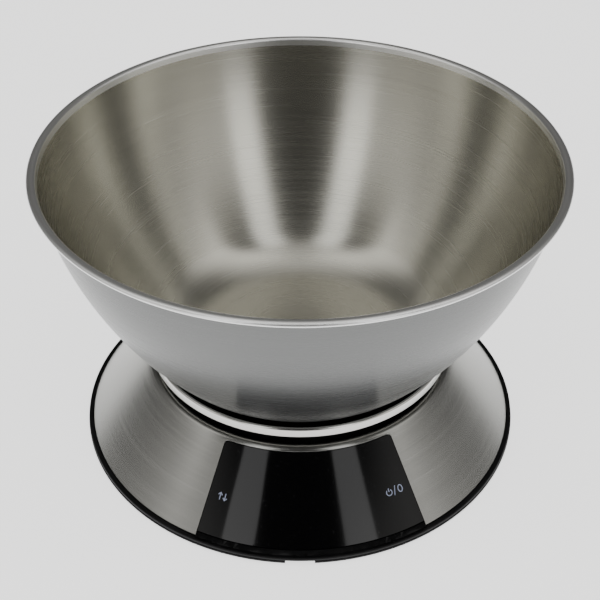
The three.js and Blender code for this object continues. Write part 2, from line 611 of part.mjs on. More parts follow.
function housingBosses() {
  const root = -CASE_DEPTH - MOULD / 2;
  const bosses = Object.values(CASE_SCREW_ANGLES).map(caseBoss);
  for (const side of [-1, 1]) {
    const boss = disc(BOARD_BOSS_R, -STACK.board + GAP, root, side * BOARD_SCREW_X, 0);
    bosses.push(onCone(boss, STACK_SLANT));
  }
  for (const angle of [UNIT_KEY_ANGLE, POWER_KEY_ANGLE]) {
    for (const v of [-KEY_POST_V, KEY_POST_V]) {
      const post = disc(KEY_POST_R, -KEY_BOARD_DEPTH + GAP, root, 0, v, SCREW_SEGMENTS);
      bosses.push(onCone(post, KEY_SLANT, angle));
    }
  }
  return bosses.map(insideOfCone);
}

function keyHole(angle) {
  return onCone(disc(KEY_R + GAP, -CASE_DEPTH - MOULD - PAST, PAST), KEY_SLANT, angle);
}

function displayWindow() {
  const w = LCD.w / 2 - LCD_BORDER;
  const h = LCD.h / 2 - LCD_BORDER;
  return onCone(block(-w, w, -h, h, -STACK.glass, MOULD), STACK_SLANT);
}

function caseScrewHole(angle) {
  const [x, y] = polar(CASE_SCREW_CIRCLE_R, angle);
  const top = PARTING_Z + CASE_BOSS_RISE + CASE_SCREW_BITE + GAP;
  return disc(CASE_SCREW_R + CASE_SCREW_HOLE_SLACK, 0, top, x, y, SCREW_SEGMENTS);
}

function boardScrewHole(side) {
  const end = -STACK.board + BOARD_SCREW_BITE + GAP;
  const r = BOARD_SCREW_R + CASE_SCREW_HOLE_SLACK;
  return onCone(disc(r, -STACK.board - PAST, end, side * BOARD_SCREW_X, 0, SCREW_SEGMENTS), STACK_SLANT);
}

// Lets the support's boss through the well's floor, with room for its corners.
function wellHole() {
  const r = Math.hypot(SPACER_LENGTH / 2, BOSS_HALF_WIDTH) + 4 * GAP;
  return disc(r, WELL_FLOOR_Z - MOULD - PAST, WELL_FLOOR_Z + PAST, SPACER_X, 0);
}

function upperHousing() {
  const added = [panelChin(), ...housingBosses()];
  const cuts = [
    keyHole(UNIT_KEY_ANGLE), keyHole(POWER_KEY_ANGLE), displayWindow(), wellHole(),
    boardScrewHole(-1), boardScrewHole(1), ...Object.values(CASE_SCREW_ANGLES).map(caseScrewHole),
  ];
  const whole = added.reduce((shell, piece) => shell.add(piece), casingShell());
  return cuts.reduce((shell, cut) => shell.subtract(cut), whole);
}

// ---------------------------------------------------------------- display and boards
function lcdFrame() {
  const { wall, lip, front } = LCD_FRAME;
  const back = -STACK.board + GAP;
  const face = -LCD_FRAME_DEPTH;
  const inset = (by, z0, z1) =>
    block(by - FRAME_W / 2, FRAME_W / 2 - by, by - FRAME_H / 2, FRAME_H / 2 - by, z0, z1);
  const frame = inset(0, back, face)
    .subtract(inset(wall, back - PAST, face - front))
    .subtract(inset(lip, back - PAST, face + PAST));
  return onCone(frame, STACK_SLANT);
}

function lcdModule() {
  const front = -STACK.glass;
  const back = front - LCD.t;
  const middle = (front + back) / 2;
  const rear = block(-LCD.w / 2, LCD.w / 2, -LCD.h / 2, LCD.h / 2, back, middle);
  const top = block(-LCD.w / 2, LCD.w / 2, -LCD.h / 2, LCD.h / 2 - LCD.ledge,
    middle - LCD.t / 8, front);
  return onCone(rear.add(top), STACK_SLANT);
}

function lcdStrip() {
  const { inset, h, t, margin } = LCD_STRIP;
  const u = LCD.w / 2 - inset;
  const v = LCD.h / 2 - margin;
  return onCone(block(-u, u, v - h, v, -STACK.strip - t, -STACK.strip), STACK_SLANT);
}

function mainBoard() {
  const hole = (side) => disc(BOARD_SCREW_R + SCREW_SLACK, -STACK_BACK - PAST, -STACK.board + PAST,
    side * BOARD_SCREW_X, 0, SCREW_SEGMENTS);
  const board = block(-BOARD_W / 2, BOARD_W / 2, -BOARD_H / 2, BOARD_H / 2, -STACK_BACK, -STACK.board);
  return onCone(board.subtract(hole(-1)).subtract(hole(1)), STACK_SLANT);
}

function boardScrew(side) {
  const shank = BOARD.t + GAP + BOARD_SCREW_BITE;
  return onCone(screw(BOARD_SCREW_HEAD_R, BOARD_SCREW_HEAD, BOARD_SCREW_R, shank,
    side * BOARD_SCREW_X, 0, -STACK_BACK - GAP, false), STACK_SLANT);
}

function chipCover() {
  const dome = new THREE.CylinderGeometry(CHIP.r, CHIP.r * CHIP.taper, CHIP.t, SMALL_SEGMENTS)
    .rotateX(Math.PI / 2).translate(CHIP.x, 0, -STACK_BACK - GAP - CHIP.t / 2);
  return onCone(toSolid(dome), STACK_SLANT);
}

// ---------------------------------------------------------------- keys
function keyPlunger(angle) {
  const stem = disc(KEY_R, -KEY_END, -KEY_DEPTH);
  const flangeTop = -CASE_DEPTH - MOULD - KEY_FLANGE_GAP;
  return onCone(stem.add(disc(KEY_FLANGE_R, flangeTop - KEY_FLANGE, flangeTop)), KEY_SLANT, angle);
}

function keySwitch(angle) {
  const { w, t, buttonR, button } = SWITCH;
  const top = -SWITCH_DEPTH;
  const body = block(-w / 2, w / 2, -w / 2, w / 2, top - button - t, top - button);
  const knob = disc(buttonR, top - button - t / 4, top, 0, 0, SCREW_SEGMENTS);
  return onCone(body.add(knob), KEY_SLANT, angle);
}

function keyBoard(angle) {
  const { w, t } = KEY_BOARD;
  const v = KEY_BOARD_H / 2;
  const board = block(-w / 2, w / 2, -v, v, -KEY_BOARD_DEPTH - t, -KEY_BOARD_DEPTH);
  return onCone(board, KEY_SLANT, angle);
}

// ---------------------------------------------------------------- base tray
function bayBlock(grown, z0, z1) {
  const w = BAY_HALF_W + grown;
  const h = BAY_HALF_H + grown;
  return block(-w, w, BAY_Y - h, BAY_Y + h, z0, z1);
}

function contactSlots() {
  const width = CONTACT_W / 2 + GAP;
  const roof = BAY_ROOF_Z + BAY_WALL + PAST;
  const side = block(-CELL_R - CONTACT_T - 2 * GAP, PAST - CELL_R, BAY_Y - width, BAY_Y + width,
    BAY_Z - PAST, roof);
  const x = CELL_R - CONTACT_INSET;
  const top = block(x - GAP, x + CONTACT_T + GAP, BAY_Y - width, BAY_Y + width, BAY_ROOF_Z - PAST, roof);
  return side.add(top);
}

function trayShell() {
  const inside = CASE_DEPTH + MOULD;
  const ribTop = PARTING_Z + LOCATING_RIB_HEIGHT;
  const ribR = conePoint(slantAtHeight(ribTop, inside), inside)[0] - GAP;
  return lathe([
    [0, FOOT_STAND],
    [BASE_R - BASE_EDGE.w, FOOT_STAND],
    [BASE_R, FOOT_STAND + BASE_EDGE.h],
    [BASE_R, BASE_RIM_Z],
    [ribR, BASE_RIM_Z],
    [ribR, ribTop],
    [ribR - LOCATING_RIB, ribTop],
    [ribR - LOCATING_RIB, FLOOR_TOP_Z],
    [0, FLOOR_TOP_Z],
  ]);
}

// Stands under the fixed end of the load cell.
function pedestal() {
  const half = BEAM_WIDTH / 2 + PEDESTAL_WALL;
  const outer = -SPACER_X - SPACER_LENGTH / 2 - PEDESTAL_WALL;
  return block(outer, -SPACER_X + SPACER_LENGTH / 2, -half, half, FLOOR_TOP_Z - FLOOR / 2, PEDESTAL_Z);
}

// A screw's clearance hole, and the counterbore that its head sinks into.
function screwWell(shankR, headR, x, y, seat, top) {
  return disc(shankR + SCREW_SLACK, seat - PAST, top, x, y, SCREW_SEGMENTS)
    .add(disc(headR + SCREW_SLACK, FOOT_STAND - PAST, seat, x, y));
}

function caseCup(angle) {
  const r = CASE_SCREW_HEAD_R + SCREW_SLACK + CASE_CUP_WALL;
  const top = PARTING_Z + CASE_BOSS_RISE - GAP;
  return disc(r, FLOOR_TOP_Z - FLOOR / 2, top, ...polar(CASE_SCREW_CIRCLE_R, angle));
}

function caseWell(angle) {
  const [x, y] = polar(CASE_SCREW_CIRCLE_R, angle);
  return screwWell(CASE_SCREW_R, CASE_SCREW_HEAD_R, x, y, CASE_SCREW_SEAT_Z, PARTING_Z + CASE_CUP_HOLE);
}

function beamWell(x) {
  const top = PEDESTAL_Z + PAST;
  return screwWell(BEAM_SCREW_R, BEAM_SCREW_HEAD_R, -x, 0, PEDESTAL_Z - SCREW_SEAT, top);
}

function footRecess(angle) {
  const [x, y] = polar(FOOT_CIRCLE_R, angle);
  return disc(FOOT_R + GAP, FOOT_STAND - PAST, FOOT_STAND + FOOT_INSET + GAP, x, y);
}

function nailNotch() {
  const { r, h, cut } = NAIL_NOTCH;
  const scoop = new THREE.CylinderGeometry(r, r, h, SMALL_SEGMENTS).rotateX(Math.PI / 2);
  return toSolid(scoop.translate(0, BAY_Y + DOOR.h / 2 + PAST, FOOT_STAND - cut));
}

function rimNotch() {
  const notch = new THREE.BoxGeometry(2 * NOTCH.depth, NOTCH.w, 2 * (BASE_RIM + GAP));
  return toSolid(notch.translate(BASE_R, 0, FOOT_STAND).rotateZ(NOTCH.angle));
}

function baseTray() {
  const caseAngles = Object.values(CASE_SCREW_ANGLES);
  const bay = bayBlock(BAY_WALL, FLOOR_TOP_Z - FLOOR / 2, BAY_ROOF_Z + BAY_WALL);
  const added = [pedestal(), bay, ...caseAngles.map(caseCup)];
  const cellSpace = disc(CELL_R + CELL_SLACK, BAY_Z - GAP / 2, BAY_ROOF_Z, 0, BAY_Y, CELL_SEGMENTS);
  const cuts = [
    ...BEAM_SCREW_X.map(beamWell), ...caseAngles.map(caseWell),
    ...Object.values(FOOT_ANGLES).map(footRecess),
    bayBlock(0, FOOT_STAND - PAST, BAY_Z), cellSpace, contactSlots(), nailNotch(), rimNotch(),
  ];
  const whole = added.reduce((tray, piece) => tray.add(piece), trayShell());
  return cuts.reduce((tray, cut) => tray.subtract(cut), whole);
}

function batteryDoor() {
  const hinge = new THREE.CylinderGeometry(DOOR.t / 2, DOOR.t / 2, DOOR.w, 16).rotateZ(Math.PI / 2)
    .translate(0, DOOR_HINGE_Y, DOOR_Z + DOOR.t / 2);
  const plate = block(-DOOR.w / 2, DOOR.w / 2, DOOR_HINGE_Y, BAY_Y + DOOR.h / 2, DOOR_Z, DOOR_Z + DOOR.t);
  const back = BAY_Y + DOOR.h / 2 - LATCH.inset;
  const tongue = block(-LATCH.w / 2, LATCH.w / 2, back - LATCH.t, back,
    DOOR_Z + DOOR.t / 2, BAY_Z - 2 * GAP / 3);
  return toSolid(hinge).add(plate).add(tongue);
}

function coinCell() {
  return lathe([
    [0, CELL_Z],
    [CELL_R - CELL_EDGE, CELL_Z],
    [CELL_R, CELL_Z + CELL_EDGE],
    [CELL_R, CELL_Z + CELL_T - CELL_LID.h],
    [CELL_R - CELL_LID.inset, CELL_Z + CELL_T - CELL_LID.h],
    [CELL_R - CELL_LID.inset - CELL_EDGE, CELL_Z + CELL_T],
    [0, CELL_Z + CELL_T],
  ], CELL_SEGMENTS).translate([0, BAY_Y, 0]);
}

function contactPositive() {
  const x = -CELL_R - GAP - CONTACT_T;
  return block(x, x + CONTACT_T, BAY_Y - CONTACT_W / 2, BAY_Y + CONTACT_W / 2,
    CELL_Z, BAY_ROOF_Z + BAY_WALL + CONTACT_TAIL);
}

function contactNegative() {
  const z = CELL_Z + CELL_T + GAP;
  const x = CELL_R - CONTACT_INSET;
  const across = [BAY_Y - CONTACT_W / 2, BAY_Y + CONTACT_W / 2];
  const leaf = block(-CONTACT_REACH, x + CONTACT_T, ...across, z, z + CONTACT_T);
  return leaf.add(block(x, x + CONTACT_T, ...across, z, BAY_ROOF_Z + BAY_WALL + CONTACT_TAIL));
}

// ---------------------------------------------------------------- feet and casing screws
function foot(angle) {
  const [x, y] = polar(FOOT_CIRCLE_R, angle);
  return lathe([
    [0, 0],
    [FOOT_R - FOOT_EDGE.w, 0],
    [FOOT_R, FOOT_EDGE.h],
    [FOOT_R, FOOT_STAND + FOOT_INSET],
    [0, FOOT_STAND + FOOT_INSET],
  ], SMALL_SEGMENTS).translate([x, y, 0]);
}

function caseScrew(angle) {
  const [x, y] = polar(CASE_SCREW_CIRCLE_R, angle);
  const seat = CASE_SCREW_SEAT_Z - GAP;
  const shank = CASE_SEAT + 2 * GAP + CASE_SCREW_BITE;
  return screw(CASE_SCREW_HEAD_R, CASE_SCREW_HEAD, CASE_SCREW_R, shank, x, y, seat, false);
}

// ---------------------------------------------------------------- leads
const BOARD_BACK = STACK_BACK + PAST;

function loadCellLead() {
  return lead([
    new THREE.Vector3(0, -BEAM_WIDTH / 2 - 1.2, BEAM_TOP_Z - 1.2),
    new THREE.Vector3(-2, -14, BEAM_Z),
    new THREE.Vector3(-8, -30, 10),
    new THREE.Vector3(-12, -48, 10),
    onConePoint(-12, STACK_SLANT - 2, BOARD_BACK + 3),
    onConePoint(-12, STACK_SLANT - 2, BOARD_BACK),
  ], 1.0);
}

function batteryLead() {
  const roof = BAY_ROOF_Z + BAY_WALL;
  return lead([
    new THREE.Vector3(-CELL_R - 2.2, BAY_Y, roof + 1.6),
    new THREE.Vector3(-CELL_R - 9, BAY_Y - 4, roof + 1),
    new THREE.Vector3(-32, 30, 7),
    new THREE.Vector3(-34, 0, 6),
    new THREE.Vector3(-30, -34, 7),
    onConePoint(-18, STACK_SLANT + 3, BOARD_BACK + 5),
    onConePoint(-18, STACK_SLANT + 3, BOARD_BACK),
  ], 0.9);
}

function keyLead(angle) {
  const side = Math.sign(angle);
  const depth = KEY_BOARD_DEPTH + KEY_BOARD.t + 1;
  return lead([
    onConePoint(0, KEY_SLANT - 3, depth, angle),
    onConePoint(-side * 2, KEY_SLANT - 3, depth + 5, angle),
    onConePoint(side * 21, STACK_SLANT - 6, BOARD_BACK + 4),
    onConePoint(side * 18, STACK_SLANT - 6, BOARD_BACK),
  ], 0.8);
}

// ---------------------------------------------------------------- assembly
const scale = new THREE.Group();

function place(name, solid, material) {
  const mesh = new THREE.Mesh(toGeometry(solid), material);
  mesh.name = name;
  scale.add(mesh);
}

place('bowl', bowl(), BRUSHED_STEEL());
place('weighing_tray', weighingTray(), POLISHED_STEEL());
place('tray_support', traySupport(), BLACK_ABS());
place('load_cell', loadCell(), ALUMINIUM());
place('strain_gauge_coat', gaugeCoat(), SILICONE());
place('load_cell_upper_spacer', beamSpacer(1, UPPER_SPACER_Z), ALUMINIUM());
place('load_cell_lower_spacer', beamSpacer(-1, LOWER_SPACER_Z), ALUMINIUM());
BEAM_SCREW_X.forEach((x, i) => {
  place(`load_cell_upper_screw_${i + 1}`, beamScrew(1, x), ZINC());
  place(`load_cell_lower_screw_${i + 1}`, beamScrew(-1, x), ZINC());
});

place('base_skin', baseSkin(), BRUSHED_STEEL());
place('display_panel', displayPanel(), PANEL_BLACK());
place('upper_housing', upperHousing(), BLACK_ABS());
place('base_tray', baseTray(), BLACK_ABS());

place('lcd_frame', lcdFrame(), BLACK_ABS());
place('lcd_module', lcdModule(), GLASS());
place('lcd_contact_strip', lcdStrip(), SILICONE());
place('main_board', mainBoard(), BOARD_GREEN());
place('chip_cover', chipCover(), BLACK_ABS());
place('board_screw_left', boardScrew(-1), ZINC());
place('board_screw_right', boardScrew(1), ZINC());

const KEYS = { unit_key: UNIT_KEY_ANGLE, power_key: POWER_KEY_ANGLE };
for (const [name, angle] of Object.entries(KEYS)) {
  place(name, keyPlunger(angle), BLACK_ABS());
  place(`${name}_switch`, keySwitch(angle), BLACK_ABS());
  place(`${name}_board`, keyBoard(angle), BOARD_GREEN());
  place(`${name}_lead`, keyLead(angle), LEAD_SLEEVE());
}

place('coin_cell', coinCell(), CELL_STEEL());
place('battery_contact_positive', contactPositive(), PLATED_BRASS());
place('battery_contact_negative', contactNegative(), PLATED_BRASS());
place('battery_door', batteryDoor(), BLACK_ABS());
place('load_cell_lead', loadCellLead(), LEAD_SLEEVE());
place('battery_lead', batteryLead(), LEAD_SLEEVE());

for (const [corner, angle] of Object.entries(FOOT_ANGLES)) {
  place(`foot_${corner}`, foot(angle), RUBBER());
}
for (const [side, angle] of Object.entries(CASE_SCREW_ANGLES)) {
  place(`casing_screw_${side}`, caseScrew(angle), ZINC());
}

export default scale;
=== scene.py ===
# %% [markdown]
# # A kitchen scale with a mixing bowl
# A stainless bowl stands in a polished tray, over a cone of brushed steel with a black glass-like panel
# let into its front. Nearly every piece is turned: one outline, spun round the upright axis. The packed
# model gives every piece its place, and this script gives it its fine surface and its finish.

# %% Load the frame
from math import asin, atan2, cos, hypot, pi, radians, sin, tan

import bmesh
import bpy
from mathutils import Matrix, Vector


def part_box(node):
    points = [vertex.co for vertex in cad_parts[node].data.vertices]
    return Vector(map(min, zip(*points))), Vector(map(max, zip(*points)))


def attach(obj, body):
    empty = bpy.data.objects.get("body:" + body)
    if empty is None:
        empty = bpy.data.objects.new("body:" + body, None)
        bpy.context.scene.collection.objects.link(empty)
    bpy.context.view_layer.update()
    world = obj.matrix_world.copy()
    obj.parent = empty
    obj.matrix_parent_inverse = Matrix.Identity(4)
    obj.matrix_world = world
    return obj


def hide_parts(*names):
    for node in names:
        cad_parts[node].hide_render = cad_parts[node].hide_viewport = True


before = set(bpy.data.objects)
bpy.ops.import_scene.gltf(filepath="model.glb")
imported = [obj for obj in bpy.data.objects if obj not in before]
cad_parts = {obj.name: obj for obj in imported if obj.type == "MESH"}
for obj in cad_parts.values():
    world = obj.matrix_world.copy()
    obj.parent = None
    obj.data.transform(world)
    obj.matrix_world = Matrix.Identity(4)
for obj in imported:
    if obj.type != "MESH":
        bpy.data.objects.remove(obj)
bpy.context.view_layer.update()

# %% [markdown]
# ## Camera
# The scale is seen from in front and above, a touch to the left of the panel's middle. The camera comes
# first, so that every later choice can be judged through it.

# %% Camera
MM = 0.001
CAMERA_RADIUS = 400.3 * MM
CAMERA_HEIGHT = 374.3 * MM
CAMERA_AZIMUTH = -3.2
CAMERA_TURN = radians(CAMERA_AZIMUTH)
CAMERA_PITCH = radians(38.11)

camera_data = bpy.data.cameras.new("view")
camera_data.sensor_width = 36
camera_data.lens = 69.5
camera_data.clip_start = 0.01
camera = bpy.data.objects.new("view", camera_data)
camera.location = (CAMERA_RADIUS * sin(CAMERA_TURN), -CAMERA_RADIUS * cos(CAMERA_TURN), CAMERA_HEIGHT)
camera.rotation_euler = (pi / 2 - CAMERA_PITCH, 0, CAMERA_TURN)
bpy.context.collection.objects.link(camera)
bpy.context.scene.camera = camera
print("camera at", [round(c / MM) for c in camera.location], "mm")

# %% [markdown]
# ## Nodes written as sums
# Shaders and geometry trees are both nets of nodes. `Wire` lets a socket be used in ordinary sums, so
# `1 - mask * 0.3` adds the Math nodes by itself, and `Bench` makes every other kind of node.

# %% Wire and Bench
class Wire:
    """An output socket that can be added, multiplied and compared like a number."""

    def __init__(self, bench, socket):
        self.bench = bench
        self.socket = socket

    def math(self, operation, *others):
        return self.bench.node("ShaderNodeMath", {"operation": operation}, *others)

    def __add__(self, other):
        return self.math("ADD", self, other)

    def __sub__(self, other):
        return self.math("SUBTRACT", self, other)

    def __rsub__(self, other):
        return self.math("SUBTRACT", other, self)

    def __mul__(self, other):
        return self.math("MULTIPLY", self, other)

    def __truediv__(self, other):
        return self.math("DIVIDE", self, other)

    def step(self, low, high):
        """0 below low, 1 above high, and a smooth rise between."""
        return self.bench.node("ShaderNodeMapRange", {"interpolation_type": "SMOOTHSTEP"}, self, low, high)


class Bench:
    """A node tree being built. Inputs are given in order, or by name after the order ends."""

    def __init__(self, tree):
        self.tree = tree

    def node(self, kind, settings=None, *inputs, out=0, **named):
        made = self.tree.nodes.new(kind)
        for key, value in (settings or {}).items():
            if key == "stops":
                ramp = made.color_ramp.elements
                while len(ramp) < len(value):
                    ramp.new(1.0)
                for element, (position, colour) in zip(ramp, value):
                    element.position = position
                    element.color = colour
            else:
                setattr(made, key, value)
        for key, value in [*enumerate(inputs), *named.items()]:
            socket = made.inputs[key if isinstance(key, int) else key.replace("_", " ")]
            if isinstance(value, Wire):
                self.tree.links.new(value.socket, socket)
            elif value is not None:
                socket.default_value = value
        return Wire(self, made.outputs[out]) if len(made.outputs) else None

# %% [markdown]
# ## Spinning a sheet
# A bowl is spun from a disc on a lathe, and the same idea makes its mesh. A Geometry Nodes tree takes a
# grid and wraps it round the axis: across the grid is the way round, up the grid is the way along the
# outline. The grid also gives a UV map that runs with the brushing, which the steel needs.

# %% The spinning tree
def spinning_tree():
    group = bpy.data.node_groups.new("spin outline", "GeometryNodeTree")
    add = group.interface.new_socket
    add("Outline", in_out="INPUT", socket_type="NodeSocketObject")
    add("Points", in_out="INPUT", socket_type="NodeSocketInt")
    add("Steps round", in_out="INPUT", socket_type="NodeSocketInt")
    add("Finish", in_out="INPUT", socket_type="NodeSocketMaterial")
    add("Geometry", in_out="OUTPUT", socket_type="NodeSocketGeometry")
    bench = Bench(group)
    entry = group.nodes.new("NodeGroupInput")
    outline, points, steps, finish = (Wire(bench, entry.outputs[i]) for i in range(4))

    shape = bench.node("GeometryNodeObjectInfo", {}, outline, out="Geometry")
    grid = bench.node("GeometryNodeMeshGrid", {}, 1.0, 1.0, steps + 1, points)
    index = bench.node("GeometryNodeInputIndex")
    column = bench.node("ShaderNodeMath", {"operation": "FLOOR"}, index / points)
    row = index - column * points
    place = bench.node("GeometryNodeInputPosition")
    spot = bench.node("GeometryNodeSampleIndex", {"data_type": "FLOAT_VECTOR"}, shape, place, row)
    along_field = bench.node("GeometryNodeInputNamedAttribute", {"data_type": "FLOAT"}, "along")
    along = bench.node("GeometryNodeSampleIndex", {"data_type": "FLOAT"}, shape, along_field, row)
    radius = bench.node("ShaderNodeSeparateXYZ", {}, spot, out="X")
    height = bench.node("ShaderNodeSeparateXYZ", {}, spot, out="Z")
    turn = column / steps
    angle = turn * (2 * pi)
    east = radius * bench.node("ShaderNodeMath", {"operation": "COSINE"}, angle)
    north = radius * bench.node("ShaderNodeMath", {"operation": "SINE"}, angle)
    wrapped = bench.node("ShaderNodeCombineXYZ", {}, east, north, height)
    flat = bench.node("ShaderNodeCombineXYZ", {}, turn, along, 0.0)

    kept = bench.node("GeometryNodeStoreNamedAttribute", {"data_type": "FLOAT_VECTOR", "domain": "POINT"},
                      grid, True, "unrolled", flat)
    unrolled = bench.node("GeometryNodeInputNamedAttribute", {"data_type": "FLOAT_VECTOR"}, "unrolled")
    mapped = bench.node("GeometryNodeStoreNamedAttribute", {"data_type": "FLOAT2", "domain": "CORNER"},
                        kept, True, "UVMap", unrolled)
    turned = bench.node("GeometryNodeSetPosition", {}, mapped, True, wrapped)
    closed = bench.node("GeometryNodeMergeByDistance", {}, turned, True, Distance=1e-7)
    real = bench.node("GeometryNodeRealizeInstances", {}, closed)
    done = bench.node("GeometryNodeSetMaterial", {}, real, True, finish)
    leave = group.nodes.new("NodeGroupOutput")
    group.links.new(done.socket, leave.inputs[0])
    return group

SPIN = spinning_tree()
print("spinning tree:", len(SPIN.nodes), "nodes")

# %% Helpers that run a tree and keep its result
SHARP = radians(24)
STEPS_ROUND = 256
CONE_STEPS_ROUND = 288
SMALL_STEPS_ROUND = 48

def add_object(name, mesh):
    made = bpy.data.objects.new(name, mesh)
    bpy.context.collection.objects.link(made)
    return made

def bake(host, name):
    """The host's evaluated mesh as a plain object of its own; the host goes."""
    bpy.context.view_layer.update()
    evaluated = host.evaluated_get(bpy.context.evaluated_depsgraph_get())
    mesh = bpy.data.meshes.new_from_object(evaluated)
    mesh.name = name
    bpy.data.objects.remove(host)
    made = add_object(name, mesh)
    mesh.shade_smooth()
    mesh.set_sharp_from_angle(angle=SHARP)
    return made

def run_tree(tree, name, values):
    host = add_object(name + "_host", bpy.data.meshes.new(name + "_host"))
    modifier = host.modifiers.new("tree", "NODES")
    modifier.node_group = tree
    for item in tree.interface.items_tree:
        if item.in_out == "INPUT" and item.name in values:
            modifier[item.identifier] = values[item.name]
    return bake(host, name)

def finish_all(piece, finish):
    """One finish over the whole piece, in its only slot."""
    piece.data.materials.clear()
    piece.data.materials.append(finish)
    for face in piece.data.polygons:
        face.material_index = 0

def spun(name, outline, finish, steps=STEPS_ROUND):
    """A closed outline of (r, z) in millimetres, anticlockwise, turned about the upright axis."""
    on_axis = outline[0][0] == 0 and outline[-1][0] == 0
    points = outline if on_axis else [*outline, outline[0]]
    mesh = bpy.data.meshes.new(name + "_outline")
    mesh.from_pydata([(r * MM, 0, z * MM) for r, z in points], [], [])
    along = mesh.attributes.new("along", "FLOAT", "POINT")
    total = 0.0
    for i, (r, z) in enumerate(points):
        if i:
            total += hypot(r - points[i - 1][0], z - points[i - 1][1]) * MM
        along.data[i].value = total
    guide = add_object(name + "_outline", mesh)
    values = {"Outline": guide, "Points": len(points), "Steps round": steps, "Finish": finish}
    made = run_tree(SPIN, name, values)
    bpy.data.objects.remove(guide)
    finish_all(made, finish)
    print(name, "has", len(made.data.polygons), "faces")
    return made

# %% Outlines
def arc(r, z, radius, start, end, steps):
    """Points of an arc, both ends included, angles in radians."""
    angles = [start + (end - start) * i / steps for i in range(steps + 1)]
    return [(r + radius * cos(a), z + radius * sin(a)) for a in angles]

def rounded(corners, steps=4):
    """A closed outline whose corners (r, z, radius) are rounded off."""
    points = []
    for i, (r, z, radius) in enumerate(corners):
        if radius == 0:
            points.append((r, z))
            continue
        corner = Vector((r, z))
        before = (Vector(corners[i - 1][:2]) - corner).normalized()
        after = (Vector(corners[(i + 1) % len(corners)][:2]) - corner).normalized()
        half = before.angle(after) / 2
        centre = corner + (before + after).normalized() * (radius / sin(half))
        start = corner + before * (radius / tan(half)) - centre
        end = corner + after * (radius / tan(half)) - centre
        sweep = start.angle_signed(end) * -1
        first = atan2(start.y, start.x)
        points += arc(centre.x, centre.y, radius, first, first + sweep, steps)
    return points

# %% [markdown]
# ## Finishes
# Each finish is one function. What varies over a surface only feeds the colour, the roughness or the bump;
# what is even sits on the shader's own socket.

# %% Surface helpers
def new_finish(name):
    material = bpy.data.materials.new(name)
    material.use_nodes = True
    material.node_tree.nodes.clear()
    return material, Bench(material.node_tree)

def surface(bench, **sockets):
    shader = bench.node("ShaderNodeBsdfPrincipled", {}, **sockets)
    bench.node("ShaderNodeOutputMaterial", {}, shader)

def bench_mix(bench, factor, first, second):
    node = bench.tree.nodes.new("ShaderNodeMix")
    node.data_type = "RGBA"
    for index, value in ((0, factor), (6, first), (7, second)):
        if isinstance(value, Wire):
            bench.tree.links.new(value.socket, node.inputs[index])
        else:
            node.inputs[index].default_value = value if index == 0 else (*value, 1)
    return Wire(bench, node.outputs[2])

def noise(bench, vector, scale, detail=3, roughness=0.5):
    return bench.node("ShaderNodeTexNoise", {}, Vector=vector, Scale=scale, Detail=detail,
                      Roughness=roughness)

def bump(bench, height, strength, distance):
    return bench.node("ShaderNodeBump", {}, Strength=strength, Distance=distance, Height=height)

def object_place(bench):
    return bench.node("ShaderNodeTexCoord", {}, out="Object")

# %% Brushed steel
def brushed_steel(name, colour, dark, roughness, stretch, lines=1.0):
    """Scratches run round the axis: noise that is long round the UV map and short along it."""
    material, bench = new_finish(name)
    uv = bench.node("ShaderNodeUVMap", {"uv_map": "UVMap"})
    turn = bench.node("ShaderNodeSeparateXYZ", {}, uv, out="X") * (2 * pi)
    along = bench.node("ShaderNodeSeparateXYZ", {}, uv, out="Y")
    east = bench.node("ShaderNodeMath", {"operation": "COSINE"}, turn)
    north = bench.node("ShaderNodeMath", {"operation": "SINE"}, turn)

    def scratches(round_scale, per_metre, detail):
        vector = bench.node("ShaderNodeCombineXYZ", {}, east * round_scale, north * round_scale,
                            along * per_metre)
        return noise(bench, vector, 1.0, detail)

    fine = scratches(1.6, 4200, 2)
    coarse = scratches(0.9, 900, 3)
    bands = scratches(0.35, 120, 2)
    grain = fine * 0.45 + coarse * 0.35 + bands * 0.2
    shade = (grain - 0.5) * (1.1 * lines) + 0.5
    clouds = noise(bench, object_place(bench), 9.0, 2)
    tone = bench_mix(bench, shade.step(0.2, 0.8), dark, colour)
    surface(bench, Base_Color=tone, Metallic=1.0,
            Roughness=(grain - 0.5) * 0.16 + (clouds - 0.5) * 0.05 + roughness,
            Anisotropic=stretch, Anisotropic_Rotation=0.25,
            Normal=bump(bench, fine * 0.6 + coarse * 0.4, 0.04, 0.00004))
    return material

def polished_steel(name, colour, roughness):
    material, bench = new_finish(name)
    place = object_place(bench)
    haze = noise(bench, place, 60.0, 3)
    smears = noise(bench, place, 14.0, 2)
    tone = bench_mix(bench, smears.step(0.3, 0.7), [c * 0.93 for c in colour], colour)
    surface(bench, Base_Color=tone, Metallic=1.0,
            Roughness=(haze - 0.5) * 0.06 + (smears - 0.5) * 0.05 + roughness,
            Normal=bump(bench, haze, 0.04, 0.0002))
    return material

# %% Black finishes
def gloss_black(name):
    """Polished acrylic, black behind: a hard reflection that wanders a little, as moulded sheet does."""
    material, bench = new_finish(name)
    place = object_place(bench)
    wander = noise(bench, place, 22.0, 1)
    dust = noise(bench, place, 900.0, 2).step(0.66, 0.74)
    tone = bench_mix(bench, dust * 0.35, (0.0012, 0.0012, 0.0015), (0.02, 0.02, 0.022))
    surface(bench, Base_Color=tone, Roughness=(wander - 0.5) * 0.05 + 0.075 + dust * 0.1, IOR=1.42,
            Normal=bump(bench, wander, 0.12, 0.0012))
    return material

